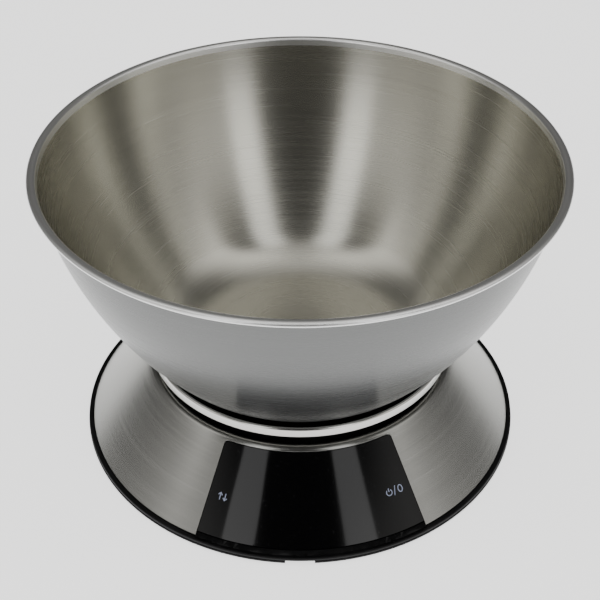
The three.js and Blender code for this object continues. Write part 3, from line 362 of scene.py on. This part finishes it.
def moulded(name, colour, roughness, texture=1.0, ior=1.45):
    """Moulded plastic with a fine spark-eroded texture, a little paler where it has been rubbed."""
    material, bench = new_finish(name)
    place = object_place(bench)
    pits = noise(bench, place, 2600.0, 2)
    rubbed = noise(bench, place, 45.0, 4, 0.6)
    pale = [min(1.0, c * 1.6 + 0.006) for c in colour]
    tone = bench_mix(bench, rubbed.step(0.42, 0.75), colour, pale)
    surface(bench, Base_Color=tone, IOR=ior,
            Roughness=(pits - 0.5) * 0.18 + (rubbed - 0.5) * 0.12 + roughness,
            Normal=bump(bench, pits, 0.25 * texture, 0.00006))
    return material

# %% [markdown]
# ## The bowl
# The wall is two arcs that run into each other: a tight knuckle over the foot and a long flank. The rim is
# rolled outwards and flattened, so it stands proud of the wall and is polished by the rolling; its paler
# colour is a painted highlight. Outside and underneath, the same steel is painted much darker: painted shade.

# %% Bowl outline
bowl_low, bowl_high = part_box("bowl")
RIM_R = 108.0
BOWL_FOOT_Z = bowl_low[2] / MM
BOWL_TOP_Z = bowl_high[2] / MM
FOOT_DISC_R = 40.5
KNUCKLE_R = 34.5
KNUCKLE_TURN = radians(49.8)
WALL_R = 105.0
BOWL_SHEET = 0.7
BEAD_HEIGHT = 2.3

def bowl_wall(inset, knuckle_steps=18, flank_steps=40):
    centre_z = BOWL_FOOT_Z + KNUCKLE_R
    join = (FOOT_DISC_R + KNUCKLE_R * sin(KNUCKLE_TURN), centre_z - KNUCKLE_R * cos(KNUCKLE_TURN))
    top_z = BOWL_TOP_Z - BEAD_HEIGHT / 2
    across, up = WALL_R - join[0], top_z - join[1]
    flank = (across ** 2 + up ** 2) / (2 * (up * cos(KNUCKLE_TURN) - across * sin(KNUCKLE_TURN)))
    centre = (join[0] - flank * sin(KNUCKLE_TURN), join[1] + flank * cos(KNUCKLE_TURN))
    end = asin((top_z - centre[1]) / flank)
    knuckle = arc(FOOT_DISC_R, centre_z, KNUCKLE_R - inset, -pi / 2, KNUCKLE_TURN - pi / 2, knuckle_steps)
    return knuckle + arc(*centre, flank - inset, KNUCKLE_TURN - pi / 2, end, flank_steps)[1:]

def bowl_outline():
    outside = bowl_wall(0)
    inside = bowl_wall(BOWL_SHEET)
    bead_z = BOWL_TOP_Z - BEAD_HEIGHT / 2
    inner_r = inside[-1][0]
    half = (RIM_R - inner_r) / 2
    bead = [(inner_r + half * (1 + c), bead_z + s * BEAD_HEIGHT / 2)
            for c, s in arc(0, 0, 1, radians(-118), pi, 22)]
    return [(0, BOWL_FOOT_Z), *outside[:-1], *bead, *inside[-2::-1], (0, BOWL_FOOT_Z + BOWL_SHEET)]

bowl_steel = brushed_steel("bowl_brushed_steel", (0.58, 0.57, 0.508), (0.50, 0.49, 0.437), 0.26, 0.75, 0.6)
# The rim's colour, paler than the bowl steel, is a painted highlight over its real polish.
rim_steel_painted_highlight = polished_steel("rim_polished_steel", (0.95, 0.955, 0.95), 0.30)
# The outside is the bowl's own steel painted much darker: painted shade.
outer_steel_painted_shade = brushed_steel("bowl_outer_steel", (0.17, 0.173, 0.172), (0.14, 0.143, 0.142), 0.27, 0.7, 0.7)
bowl = spun("mixing_bowl", bowl_outline(), bowl_steel)
bowl.data.materials.append(rim_steel_painted_highlight)
bowl.data.materials.append(outer_steel_painted_shade)
for face in bowl.data.polygons:
    r = hypot(face.center.x, face.center.y) / MM
    outwards = (face.normal.x * face.center.x + face.normal.y * face.center.y) / MM > 0.1 * r
    # The rim's faces take the paler steel, a painted highlight.
    if face.center.z / MM > BOWL_TOP_Z - BEAD_HEIGHT and r > WALL_R - 1.0:
        face.material_index = 1
    # Faces turned outwards or downwards take the darker steel, painted shade.
    elif outwards or face.normal.z < -0.5:
        face.material_index = 2
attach(bowl, "bowl")
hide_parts("bowl")

# %% [markdown]
# ## The weighing tray
# A shallow dish, pressed from polished sheet, with its lip turned down outside. It is glued to a black
# support, whose skirt closes the gap under the tray.

# %% Tray and its support
tray_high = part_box("weighing_tray")[1]
SHEET = 0.6
TRAY_R = tray_high[0] / MM
TRAY_TOP_Z = tray_high[2] / MM
TRAY_DEPTH = 7.8
TRAY_FLOOR_Z = TRAY_TOP_Z - TRAY_DEPTH
TRAY_FLOOR_R = 58.5
TRAY_CORNER = 3.5
LIP_R = 1.1
SKIRT = 4.2
HEM_EDGE = 0.15

def tray_outline():
    lip = (TRAY_R - LIP_R, TRAY_TOP_Z - LIP_R)
    corner_z = TRAY_FLOOR_Z + TRAY_CORNER
    hem = TRAY_TOP_Z - SKIRT
    return [(0, TRAY_FLOOR_Z - SHEET),
            *arc(TRAY_FLOOR_R, corner_z, TRAY_CORNER + SHEET, -pi / 2, -0.1, 10),
            *arc(*lip, LIP_R - SHEET, pi, 0, 8),
            (TRAY_R - SHEET, hem + HEM_EDGE), (TRAY_R - SHEET + HEM_EDGE, hem),
            (TRAY_R - HEM_EDGE, hem), (TRAY_R, hem + HEM_EDGE),
            *arc(*lip, LIP_R, 0, pi, 14),
            *arc(TRAY_FLOOR_R, corner_z, TRAY_CORNER, -0.2, -pi / 2, 10),
            (0, TRAY_FLOOR_Z)]

tray_steel = polished_steel("tray_polished_steel", (0.62, 0.615, 0.59), 0.20)
tray = spun("tray", tray_outline(), tray_steel)
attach(tray, "platform")
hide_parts("weighing_tray")

# %% [markdown]
# ## Joining and cutting
# The cone's sheet is spun whole and then has the panel's window cut out of it. A Boolean modifier does the
# cut; its result is kept as a plain mesh.

# %% Cutting helpers
def combine(piece, other, operation):
    modifier = piece.modifiers.new("cut", "BOOLEAN")
    modifier.operation = operation
    modifier.solver = "EXACT"
    modifier.object = other
    name = piece.name
    finish = piece.data.materials[0]
    piece.name = name + "_host"
    made = bake(piece, name)
    bpy.data.objects.remove(other)
    made.name = name
    finish_all(made, finish)
    return made

def prism(name, points, low, high):
    """Upright prism over an anticlockwise plan outline, in millimetres."""
    n = len(points)
    verts = [(x * MM, y * MM, z * MM) for z in (low, high) for x, y in points]
    faces = [list(range(n))[::-1], list(range(n, 2 * n))]
    faces += [(i, (i + 1) % n, n + (i + 1) % n, n + i) for i in range(n)]
    mesh = bpy.data.meshes.new(name)
    mesh.from_pydata(verts, [], faces)
    return add_object(name, mesh)

# %% Cone geometry
CONE_TOP_R = 67.6
CONE_TOP_Z = 35.3
SLOPE = radians(47.7)
CONE_LENGTH = 41.6
CROWN_R = 2.6
CROWN_LIP = 3.0
CROWN = (CONE_TOP_R - CROWN_R * sin(SLOPE), CONE_TOP_Z - CROWN_R * cos(SLOPE))
PANEL_HALF_ANGLE = radians(29.8)
PANEL_TOP = 0.7
PANEL_LENGTH = 38.8
PANEL_CORNER = 2.2
PANEL_END = PANEL_TOP + PANEL_LENGTH
PAST_CONE = CONE_LENGTH + 6
CUT_LOW, CUT_HIGH = -5, 60
GAP = 0.3

def on_cone(slant, depth=0.0):
    """(r, z) of a point that far down the slope and that deep under the steel's surface."""
    return (CONE_TOP_R + slant * cos(SLOPE) - depth * sin(SLOPE),
            CONE_TOP_Z - slant * sin(SLOPE) - depth * cos(SLOPE))

def cone_outline(outer, inner):
    normal = pi / 2 - SLOPE
    lip = CROWN[1] - CROWN_LIP
    edge = 0.15
    slope_rows = 14
    rows = [CONE_LENGTH - edge - (CONE_LENGTH - edge) * i / slope_rows for i in range(slope_rows)]
    return [on_cone(CONE_LENGTH - edge, inner), on_cone(CONE_LENGTH, inner - edge),
            on_cone(CONE_LENGTH, outer + edge), *[on_cone(s, outer) for s in rows],
            *arc(*CROWN, CROWN_R - outer, normal, pi, 12),
            (CROWN[0] - CROWN_R + outer, lip), (CROWN[0] - CROWN_R + inner, lip),
            *arc(*CROWN, CROWN_R - inner, pi, normal, 12)]

def panel_plan(margin, top, end):
    """The panel's outline from above: two arcs, two radial sides, and its upper corners rounded."""
    inner, outer = on_cone(top)[0] - margin, on_cone(end)[0] + margin
    front = -pi / 2
    wide_in, wide_out = PANEL_HALF_ANGLE + margin / inner, PANEL_HALF_ANGLE + margin / outer
    turn = PANEL_CORNER / inner
    drop = PANEL_CORNER * cos(SLOPE)

    def spot(r, angle):
        return Vector((r * cos(front + angle), r * sin(front + angle)))

    def corner(a, b, c, steps=6):
        shares = [i / steps for i in range(steps + 1)]
        return [a * (1 - t) ** 2 + b * 2 * t * (1 - t) + c * t * t for t in shares]

    rim = [spot(outer, -wide_out + 2 * wide_out * i / 60) for i in range(61)]
    right = corner(spot(inner + drop, wide_in), spot(inner, wide_in), spot(inner, wide_in - turn))
    back = [spot(inner, (wide_in - turn) * (1 - 2 * i / 40)) for i in range(1, 40)]
    left = corner(spot(inner, -wide_in + turn), spot(inner, -wide_in), spot(inner + drop, -wide_in))
    return [tuple(p) for p in [*rim, *right, *back, *left]]

# %% Cone skin
cone_steel = brushed_steel("cone_brushed_steel", (0.38, 0.38, 0.362), (0.32, 0.32, 0.305), 0.24, 0.75, 0.8)
skin = spun("cone_skin", cone_outline(0, SHEET), cone_steel, CONE_STEPS_ROUND)
window = prism("panel_window", panel_plan(GAP, PANEL_TOP, PAST_CONE), CUT_LOW, CUT_HIGH)
skin = combine(skin, window, "DIFFERENCE")
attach(skin, "base")
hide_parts("base_skin")
print("cone skin:", len(skin.data.polygons), "faces")

# %% Display panel
panel_gloss = gloss_black("panel_gloss_black")
panel = spun("panel_glass", cone_outline(0, SHEET), panel_gloss, CONE_STEPS_ROUND)
plan = prism("panel_plan", panel_plan(0, PANEL_TOP, PANEL_END), CUT_LOW, CUT_HIGH)
panel = combine(panel, plan, "INTERSECT")
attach(panel, "base")
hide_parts("display_panel")
print("panel:", len(panel.data.polygons), "faces")

# %% [markdown]
# ## The casings
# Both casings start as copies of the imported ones, with their bosses and pockets. A fine ring is joined to
# each where its rim shows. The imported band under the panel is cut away, and a fine one, the chin, takes its
# place.

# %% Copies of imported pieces
casing_black = moulded("casing_black", (0.004, 0.004, 0.0045), 0.5, ior=1.32)

def packed_copy(node, name, finish):
    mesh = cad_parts[node].data.copy()
    mesh.name = name
    net = bmesh.new()
    net.from_mesh(mesh)
    bmesh.ops.remove_doubles(net, verts=net.verts, dist=1e-6)
    net.to_mesh(mesh)
    net.free()
    made = add_object(name, mesh)
    made.data.shade_smooth()
    made.data.set_sharp_from_angle(angle=SHARP)
    finish_all(made, finish)
    return made

# %% Upper casing
SKIM = 0.01
CHIN_TOP = PANEL_END - 2.0
casing_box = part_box("upper_housing")
tray_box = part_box("base_tray")
RING_R = casing_box[1][0] / MM
PARTING_Z = casing_box[0][2] / MM
RING_HEIGHT = 1.2
RING_Z = PARTING_Z + RING_HEIGHT
GROOVE_R = on_cone(CONE_LENGTH)[0] + GAP
GROOVE_DRAFT = 0.1

ring_inner = GROOVE_R + GROOVE_DRAFT
ring = rounded([(ring_inner, PARTING_Z + SKIM, 0), (RING_R + SKIM, PARTING_Z + SKIM, 0.12),
                (RING_R + SKIM, RING_Z + SKIM, 0.5), (ring_inner, RING_Z + SKIM, 0)])
casing = packed_copy("upper_housing", "upper_casing", casing_black)

def chin_band(top, outer, inner):
    """A band of the cone between two depths, from a slant down into the casing's rim."""
    foot = PARTING_Z + RING_HEIGHT / 2
    rows = [(CONE_TOP_Z - depth * cos(SLOPE) - foot) / sin(SLOPE) for depth in (inner, outer)]
    return [on_cone(rows[0], inner), on_cone(rows[1], outer), on_cone(top, outer), on_cone(top, inner)]

CHIN_DEPTH = SHEET + GAP + 1.0
ROOM_MARGIN = 0.05
ROOM_INSET = 0.1
ROOM_PAST = 1.0
room_band = chin_band(CHIN_TOP - 0.5, -ROOM_PAST, CHIN_DEPTH - ROOM_INSET)
room = spun("chin_room", room_band, casing_black)
wide_plan = prism("chin_room_plan", panel_plan(ROOM_MARGIN, PANEL_TOP, PAST_CONE), CUT_LOW, CUT_HIGH)
casing = combine(casing, combine(room, wide_plan, "INTERSECT"), "DIFFERENCE")

chin = spun("chin", chin_band(CHIN_TOP - 0.6, 0, CHIN_DEPTH), casing_black)
chin_plan = prism("chin_plan", panel_plan(0, PANEL_TOP, PAST_CONE), CUT_LOW, CUT_HIGH)
chin = combine(chin, chin_plan, "INTERSECT")
chin_cut = prism("chin_cut", panel_plan(GAP, PANEL_TOP, PANEL_END), CUT_LOW, CUT_HIGH)
chin = combine(chin, chin_cut, "DIFFERENCE")
casing = combine(casing, chin, "UNION")
casing = combine(casing, spun("casing_ring", ring, casing_black), "UNION")
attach(casing, "base")
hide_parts("upper_housing")
print("upper casing:", len(casing.data.polygons), "faces")

# %% Base tray
BASE_R = tray_box[1][0] / MM
BASE_LOW = tray_box[0][2] / MM
BASE_RIM = 1.6
BASE_RIM_Z = BASE_LOW + BASE_RIM
RIM_INNER_R = 92
NOTCH_TURN = radians(266.8)
NOTCH_DEPTH = 3.2
NOTCH_HALF_W = 6
NOTCH_PAST = 3

rim = rounded([(RIM_INNER_R, BASE_LOW - SKIM, 0), (BASE_R - 1.0, BASE_LOW - SKIM, 0.3),
               (BASE_R + SKIM, BASE_LOW + 0.7, 0.4), (BASE_R + SKIM, BASE_RIM_Z + SKIM, 0.12),
               (RIM_INNER_R, BASE_RIM_Z + SKIM, 0)])
rim = spun("tray_rim", rim, casing_black)
notch_in, notch_out = BASE_R - NOTCH_DEPTH, BASE_R + NOTCH_PAST
notch = prism("notch", [(notch_in, -NOTCH_HALF_W), (notch_out, -NOTCH_HALF_W), (notch_out, NOTCH_HALF_W),
                        (notch_in, NOTCH_HALF_W)], BASE_LOW - 1, BASE_RIM_Z + 0.2)
notch.data.transform(Matrix.Rotation(NOTCH_TURN, 4, "Z"))
rim = combine(rim, notch, "DIFFERENCE")
base = combine(packed_copy("base_tray", "base_casing", casing_black), rim, "UNION")
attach(base, "base")
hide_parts("base_tray")
print("base casing:", len(base.data.polygons), "faces")

# %% [markdown]
# ## What repeats
# The base stands on four rubber feet and is closed by four screws. One tree puts a shape at each vertex of
# a host, so each set is one mesh.

# %% The repeating tree
def repeating_tree():
    group = bpy.data.node_groups.new("shape at places", "GeometryNodeTree")
    add = group.interface.new_socket
    add("Places", in_out="INPUT", socket_type="NodeSocketObject")
    add("Shape", in_out="INPUT", socket_type="NodeSocketObject")
    add("Turn step", in_out="INPUT", socket_type="NodeSocketFloat")
    add("Finish", in_out="INPUT", socket_type="NodeSocketMaterial")
    add("Geometry", in_out="OUTPUT", socket_type="NodeSocketGeometry")
    bench = Bench(group)
    entry = group.nodes.new("NodeGroupInput")
    places, shape, turn, finish = (Wire(bench, entry.outputs[i]) for i in range(4))
    spots = bench.node("GeometryNodeObjectInfo", {}, places, out="Geometry")
    one = bench.node("GeometryNodeObjectInfo", {}, shape, out="Geometry")
    angle = bench.node("GeometryNodeInputIndex") * turn
    turned = bench.node("ShaderNodeCombineXYZ", {}, 0.0, 0.0, angle)
    copies = bench.node("GeometryNodeInstanceOnPoints", {}, spots, Instance=one, Rotation=turned)
    real = bench.node("GeometryNodeRealizeInstances", {}, copies)
    done = bench.node("GeometryNodeSetMaterial", {}, real, True, finish)
    leave = group.nodes.new("NodeGroupOutput")
    group.links.new(done.socket, leave.inputs[0])
    return group

REPEAT = repeating_tree()

def repeated(name, shape, nodes, turn, finish):
    """The shape, made with its datum at the origin, at the middle of each node's underside."""
    spots = []
    for node in nodes:
        low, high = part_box(node)
        spots.append(((low[0] + high[0]) / 2, (low[1] + high[1]) / 2, low[2]))
    mesh = bpy.data.meshes.new(name + "_places")
    mesh.from_pydata(spots, [], [])
    places = add_object(name + "_places", mesh)
    values = {"Places": places, "Shape": shape, "Turn step": turn, "Finish": finish}
    made = run_tree(REPEAT, name, values)
    finish_all(made, finish)
    bpy.data.objects.remove(places)
    bpy.data.objects.remove(shape)
    return made

# %% Feet
def foot_outline(r, height):
    return rounded([(0, 0, 0), (1.8, 0, 0), (2.2, 0.25, 0.1), (3.0, 0.25, 0.1), (3.4, 0, 0.1), (r, 0, 0.45),
                    (r, height, 0.1), (0, height, 0)])

rubber = moulded("foot_rubber", (0.016, 0.016, 0.016), 0.72, 2.0)
foot_low, foot_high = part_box("foot_front_left")
foot_r = (foot_high[0] - foot_low[0]) / 2 / MM
FEET = ["foot_" + corner for corner in ("front_left", "front_right", "rear_right", "rear_left")]
foot = spun("foot", foot_outline(foot_r, (foot_high[2] - foot_low[2]) / MM), rubber,
            SMALL_STEPS_ROUND)
feet = repeated("rubber_feet", foot, FEET, 0.0, rubber)
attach(feet, "base")
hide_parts(*FEET)

# %% Casing screws
def zinc_finish(name):
    """Plated steel: a soft metal, clouded where the plating took unevenly."""
    material, bench = new_finish(name)
    place = object_place(bench)
    clouds = noise(bench, place, 320.0, 3)
    tone = bench_mix(bench, clouds.step(0.35, 0.65), (0.42, 0.43, 0.44), (0.56, 0.57, 0.57))
    surface(bench, Base_Color=tone, Metallic=1.0, Roughness=(clouds - 0.5) * 0.3 + 0.34)
    return material

zinc = zinc_finish("screw_zinc")
SCREWS = ["casing_screw_" + corner for corner in ("front_left", "front_right", "rear_right", "rear_left")]
screw_low, screw_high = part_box(SCREWS[0])
screw_length = (screw_high[2] - screw_low[2]) / MM
HEAD_R, HEAD, SHANK_R, TIP = 2.6, 1.8, 1.3, 1.0
RECESS_ARM, RECESS_HALF_W, RECESS_DEPTH = 1.45, 0.32, 0.95
SCREW_TURN = 0.7
screw_outline = rounded([(0, 0, 0), (HEAD_R, 0, 0.5), (HEAD_R, HEAD, 0.1), (SHANK_R, HEAD, 0.1),
                         (SHANK_R, screw_length - TIP, 0), (0.3, screw_length, 0), (0, screw_length, 0)])
screw = spun("screw", screw_outline, zinc, SMALL_STEPS_ROUND)
for x, y in ((RECESS_ARM, RECESS_HALF_W), (RECESS_HALF_W, RECESS_ARM)):
    arm = prism("recess", [(-x, -y), (x, -y), (x, y), (-x, y)], -1, RECESS_DEPTH)
    screw = combine(screw, arm, "DIFFERENCE")
screws = repeated("casing_screws", screw, SCREWS, SCREW_TURN, zinc)
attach(screws, "base")
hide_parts(*SCREWS)

# %% [markdown]
# ## Printed marks
# The two touch keys carry small printed signs. Each stroke is a strip drawn flat, given a printed film's
# thickness, and wrapped on to the cone over its key.

# %% Marks
UNIT_KEY_ANGLE = radians(-25.6)
POWER_KEY_ANGLE = radians(23.0)
ZERO_KEY_ANGLE = radians(26.6)
MARK_SLANT = 23.0
PRINT = 0.02

def stroke(points, width, closed=False):
    """The strip over a line of (u, v) points, as two rows of points left and right of it."""
    rows = []
    n = len(points)
    for i, point in enumerate(points):
        before = points[i - 1] if i or closed else point
        after = points[(i + 1) % n] if i < n - 1 or closed else point
        along = (Vector(after) - Vector(before)).normalized()
        side = Vector((-along.y, along.x)) * (width / 2)
        rows.append((Vector(point) + side, Vector(point) - side))
    return rows, closed

def wrap(u, v, angle, depth):
    r, z = on_cone(MARK_SLANT - v, depth)
    turn = angle + u / r - pi / 2
    return (r * cos(turn) * MM, r * sin(turn) * MM, z * MM)

def mark(name, strokes, finish):
    """strokes: (rows, closed, angle). Each becomes one closed thin body on the panel."""
    verts, faces = [], []
    for (rows, closed), angle in strokes:
        first = len(verts)
        for left, right in rows:
            for depth in (-PRINT, PRINT):
                verts += [wrap(*left, angle, depth), wrap(*right, angle, depth)]
        n = len(rows)
        for i in range(n if closed else n - 1):
            a, b = first + 4 * i, first + 4 * ((i + 1) % n)
            faces += [(a, a + 1, b + 1, b), (a + 2, b + 2, b + 3, a + 3),
                      (a, b, b + 2, a + 2), (a + 1, a + 3, b + 3, b + 1)]
        if not closed:
            last = first + 4 * (n - 1)
            faces += [(first, first + 2, first + 3, first + 1), (last, last + 1, last + 3, last + 2)]
    mesh = bpy.data.meshes.new(name)
    mesh.from_pydata(verts, [], faces)
    net = bmesh.new()
    net.from_mesh(mesh)
    bmesh.ops.recalc_face_normals(net, faces=net.faces)
    net.to_mesh(mesh)
    net.free()
    made = add_object(name, mesh)
    made.data.materials.append(finish)
    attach(made, "base")

def print_ink(name, colour):
    material, bench = new_finish(name)
    speckle = noise(bench, object_place(bench), 1800.0, 2)
    tone = bench_mix(bench, speckle.step(0.3, 0.7), [c * 0.86 for c in colour], colour)
    surface(bench, Base_Color=tone, Roughness=0.45)
    return material

ink = print_ink("print_ink", (0.33, 0.37, 0.52))

def arrow(x, way):
    """A shaft at x with a head at the end that it points to."""
    shaft = stroke([(x, -1.5 * way), (x, 1.2 * way)], 0.42)
    head = stroke([(x - 0.85, 0.45 * way), (x, 1.5 * way), (x + 0.85, 0.45 * way)], 0.42)
    return [shaft, head]

unit_sign = [(part, UNIT_KEY_ANGLE) for part in arrow(-1.1, 1) + arrow(1.1, -1)]
mark("unit_sign", unit_sign, ink)

standby = [(stroke(arc(0, -0.1, 1.25, radians(125), radians(415), 24), 0.4), POWER_KEY_ANGLE),
           (stroke([(0, 0.15), (0, 1.65)], 0.4), POWER_KEY_ANGLE)]
slash = [(stroke([(-0.55, -1.9), (0.55, 1.9)], 0.34), (POWER_KEY_ANGLE + ZERO_KEY_ANGLE) / 2)]
zero_line = [(0.95 * c, 1.45 * s) for c, s in arc(0, 0, 1, 0, 2 * pi, 20)[:-1]]
zero = [(stroke(zero_line, 0.42, closed=True), ZERO_KEY_ANGLE)]
mark("power_sign", standby + slash + zero, ink)

# %% [markdown]
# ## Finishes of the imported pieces
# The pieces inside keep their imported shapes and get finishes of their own.

# %% Inner finishes
def sheet_metal(name, colour, roughness):
    """Bare metal with a fine mill grain along X."""
    material, bench = new_finish(name)
    stretch = bench.node("ShaderNodeMapping", {}, object_place(bench), Scale=(60.0, 1400.0, 1400.0))
    grain = noise(bench, stretch, 1.0, 2)
    tone = bench_mix(bench, grain.step(0.3, 0.7), [c * 0.85 for c in colour], colour)
    surface(bench, Base_Color=tone, Metallic=1.0, Roughness=(grain - 0.5) * 0.25 + roughness)
    return material

def circuit_board(name):
    """Green solder mask over copper tracks that show as a slightly lighter net."""
    material, bench = new_finish(name)
    place = object_place(bench)
    tracks = bench.node("ShaderNodeTexVoronoi", {"feature": "DISTANCE_TO_EDGE"}, Vector=place, Scale=420.0)
    near = tracks.step(0.03, 0.07)
    tone = bench_mix(bench, near, (0.03, 0.16, 0.06), (0.012, 0.085, 0.035))
    surface(bench, Base_Color=tone, Roughness=0.42 - near * 0.08)
    return material

def display_glass(name):
    """Grey-green glass with a faint grid of cells."""
    material, bench = new_finish(name)
    cells = bench.node("ShaderNodeTexVoronoi", {"distance": "CHEBYCHEV"}, Vector=object_place(bench),
                       Scale=260.0)
    tone = bench_mix(bench, cells.step(0.2, 0.7), (0.20, 0.235, 0.20), (0.17, 0.20, 0.172))
    surface(bench, Base_Color=tone, Roughness=0.1)
    return material

board_green = circuit_board("board_green")
beam_metal = sheet_metal("beam_aluminium", (0.62, 0.63, 0.64), 0.36)
cell_metal = sheet_metal("cell_steel", (0.66, 0.66, 0.655), 0.24)
contact_metal = sheet_metal("contact_brass", (0.62, 0.50, 0.24), 0.28)
soft_white = moulded("silicone_white", (0.55, 0.53, 0.50), 0.6)
part_black = moulded("component_black", (0.012, 0.012, 0.013), 0.46)
sleeve_red = moulded("lead_sleeve_red", (0.30, 0.012, 0.016), 0.45)
lcd_glass = display_glass("lcd_glass")

INNER = {
    "tray_support": (casing_black, "casing_abs"), "battery_door": (casing_black, "casing_abs"),
    "load_cell": (beam_metal, "beam_aluminium"), "strain_gauge_coat": (soft_white, "silicone"),
    "load_cell_upper_spacer": (beam_metal, "beam_aluminium"),
    "load_cell_lower_spacer": (beam_metal, "beam_aluminium"),
    "lcd_frame": (part_black, "component_black"), "lcd_module": (lcd_glass, "lcd_glass"),
    "lcd_contact_strip": (soft_white, "silicone"), "main_board": (board_green, "circuit_board"),
    "chip_cover": (part_black, "component_black"), "coin_cell": (cell_metal, "cell_steel"),
    "battery_contact_positive": (contact_metal, "contact_plating"),
    "battery_contact_negative": (contact_metal, "contact_plating"),
    "load_cell_lead": (sleeve_red, "lead_sleeve"), "battery_lead": (sleeve_red, "lead_sleeve"),
}
for key in ("unit_key", "power_key"):
    INNER[key] = (casing_black, "casing_abs")
    INNER[key + "_switch"] = (part_black, "component_black")
    INNER[key + "_board"] = (board_green, "circuit_board")
    INNER[key + "_lead"] = (sleeve_red, "lead_sleeve")
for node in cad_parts:
    if node.startswith("load_cell") and "screw" in node or node.startswith("board_screw"):
        INNER[node] = (zinc, "screw_steel")
for node, (finish, slot) in INNER.items():
    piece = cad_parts[node]
    finish_all(piece, finish)
print("finished", len(INNER), "packed pieces")

# %% [markdown]
# ## Studio
# Two tall soft boxes stand left and right in front, in a room that is dark ahead and brighter at its sides.
# Together they draw the paired bright bands in the bowl and the two pale strips in the panel. The floor is
# pale paper that glows, a painted light, brightest in a painted pool round the scale.

# %% Floor
# Strength of the floor's glow, painted light.
FLOOR_PAINTED_GLOW = 1.5

def painted_glow_floor(name):
    """Pale paper that glows as painted light, full in a painted pool round the scale and dimmer away from it.
    """
    material, bench = new_finish(name)
    place = object_place(bench)
    tone = noise(bench, place, 3.0, 2)
    paper = bench_mix(bench, tone, (0.84, 0.84, 0.84), (0.86, 0.86, 0.86))
    away = bench.node("ShaderNodeVectorMath", {"operation": "DISTANCE"}, place, (0.0, 0.2, 0.0), out="Value")
    # A painted pool of light: the glow is full round the scale and falls to 0.3 of it further out.
    painted_light_pool = bench_mix(bench, away.step(0.36, 0.6), (1, 1, 1), (0.3, 0.3, 0.3))
    surface(bench, Base_Color=paper, Roughness=0.9, Emission_Color=painted_light_pool, Emission_Strength=FLOOR_PAINTED_GLOW)
    return material

TABLE_SIZE = 8
bpy.ops.mesh.primitive_plane_add(size=TABLE_SIZE)
floor = bpy.context.object
floor.name = "floor"
floor.data.materials.append(painted_glow_floor("floor"))

# %% Lights
def softbox(name, azimuth, elevation, distance, width, height, power, aim=(0, 0, 0.06)):
    data = bpy.data.lights.new(name, "AREA")
    data.shape = "RECTANGLE"
    data.size = width
    data.size_y = height
    data.energy = power
    lamp = bpy.data.objects.new(name, data)
    a, e = radians(azimuth), radians(elevation)
    away = Vector((sin(a) * cos(e), -cos(a) * cos(e), sin(e)))
    lamp.location = Vector(aim) + away * distance
    lamp.rotation_euler = away.to_track_quat("Z", "Y").to_euler()
    bpy.context.collection.objects.link(lamp)

def studio_world(low, high):
    """A grey room. Each list gives its brightness at compass turns from the camera, low down and high up."""
    world = bpy.data.worlds.new("studio")
    bpy.context.scene.world = world
    world.use_nodes = True
    world.node_tree.nodes.clear()
    bench = Bench(world.node_tree)
    way = bench.node("ShaderNodeTexCoord", {}, out="Generated")
    x, y, z = (bench.node("ShaderNodeSeparateXYZ", {}, way, out=axis) for axis in "XYZ")
    aside = bench.node("ShaderNodeMath", {"operation": "ARCTAN2"}, x, y * -1.0)
    turn = bench.node("ShaderNodeMath", {"operation": "ABSOLUTE"}, aside + CAMERA_TURN * -1) / pi

    def level(stops):
        ramp = {"stops": [(a / 180, (v / 2, v / 2, v / 2, 1)) for a, v in stops]}
        return bench.node("ShaderNodeSeparateColor", {}, bench.node("ShaderNodeValToRGB", ramp, turn)) * 2.0

    up = z.step(0.42, 0.6)
    strength = level(low) * (1.0 - up) + level(high) * up + z.step(0.84, 0.97) * 0.6
    glow = bench.node("ShaderNodeBackground", {}, (1.0, 0.985, 0.955, 1), strength)
    bench.node("ShaderNodeOutputWorld", {}, glow)

BOX_TURN = 30
BOX = {"elevation": 38, "distance": 1.5, "width": 0.36, "height": 1.7, "power": 3.2}
for box_name, turn in (("left_box", -BOX_TURN), ("right_box", BOX_TURN)):
    softbox(box_name, CAMERA_AZIMUTH + turn, **BOX)

# Brightness at turns in degrees, from the camera's own direction round to the far side.
ROOM_LOW = [(0, 0.03), (18, 0.04), (26, 1.0), (58, 0.95), (76, 0.5), (96, 0.3), (125, 0.1), (158, 0.1),
            (180, 0.12)]
ROOM_HIGH = [(0, 0.03), (38, 0.05), (62, 0.04), (69, 1.5), (88, 1.15), (112, 0.3), (140, 0.1), (180, 0.14)]
studio_world(ROOM_LOW, ROOM_HIGH)
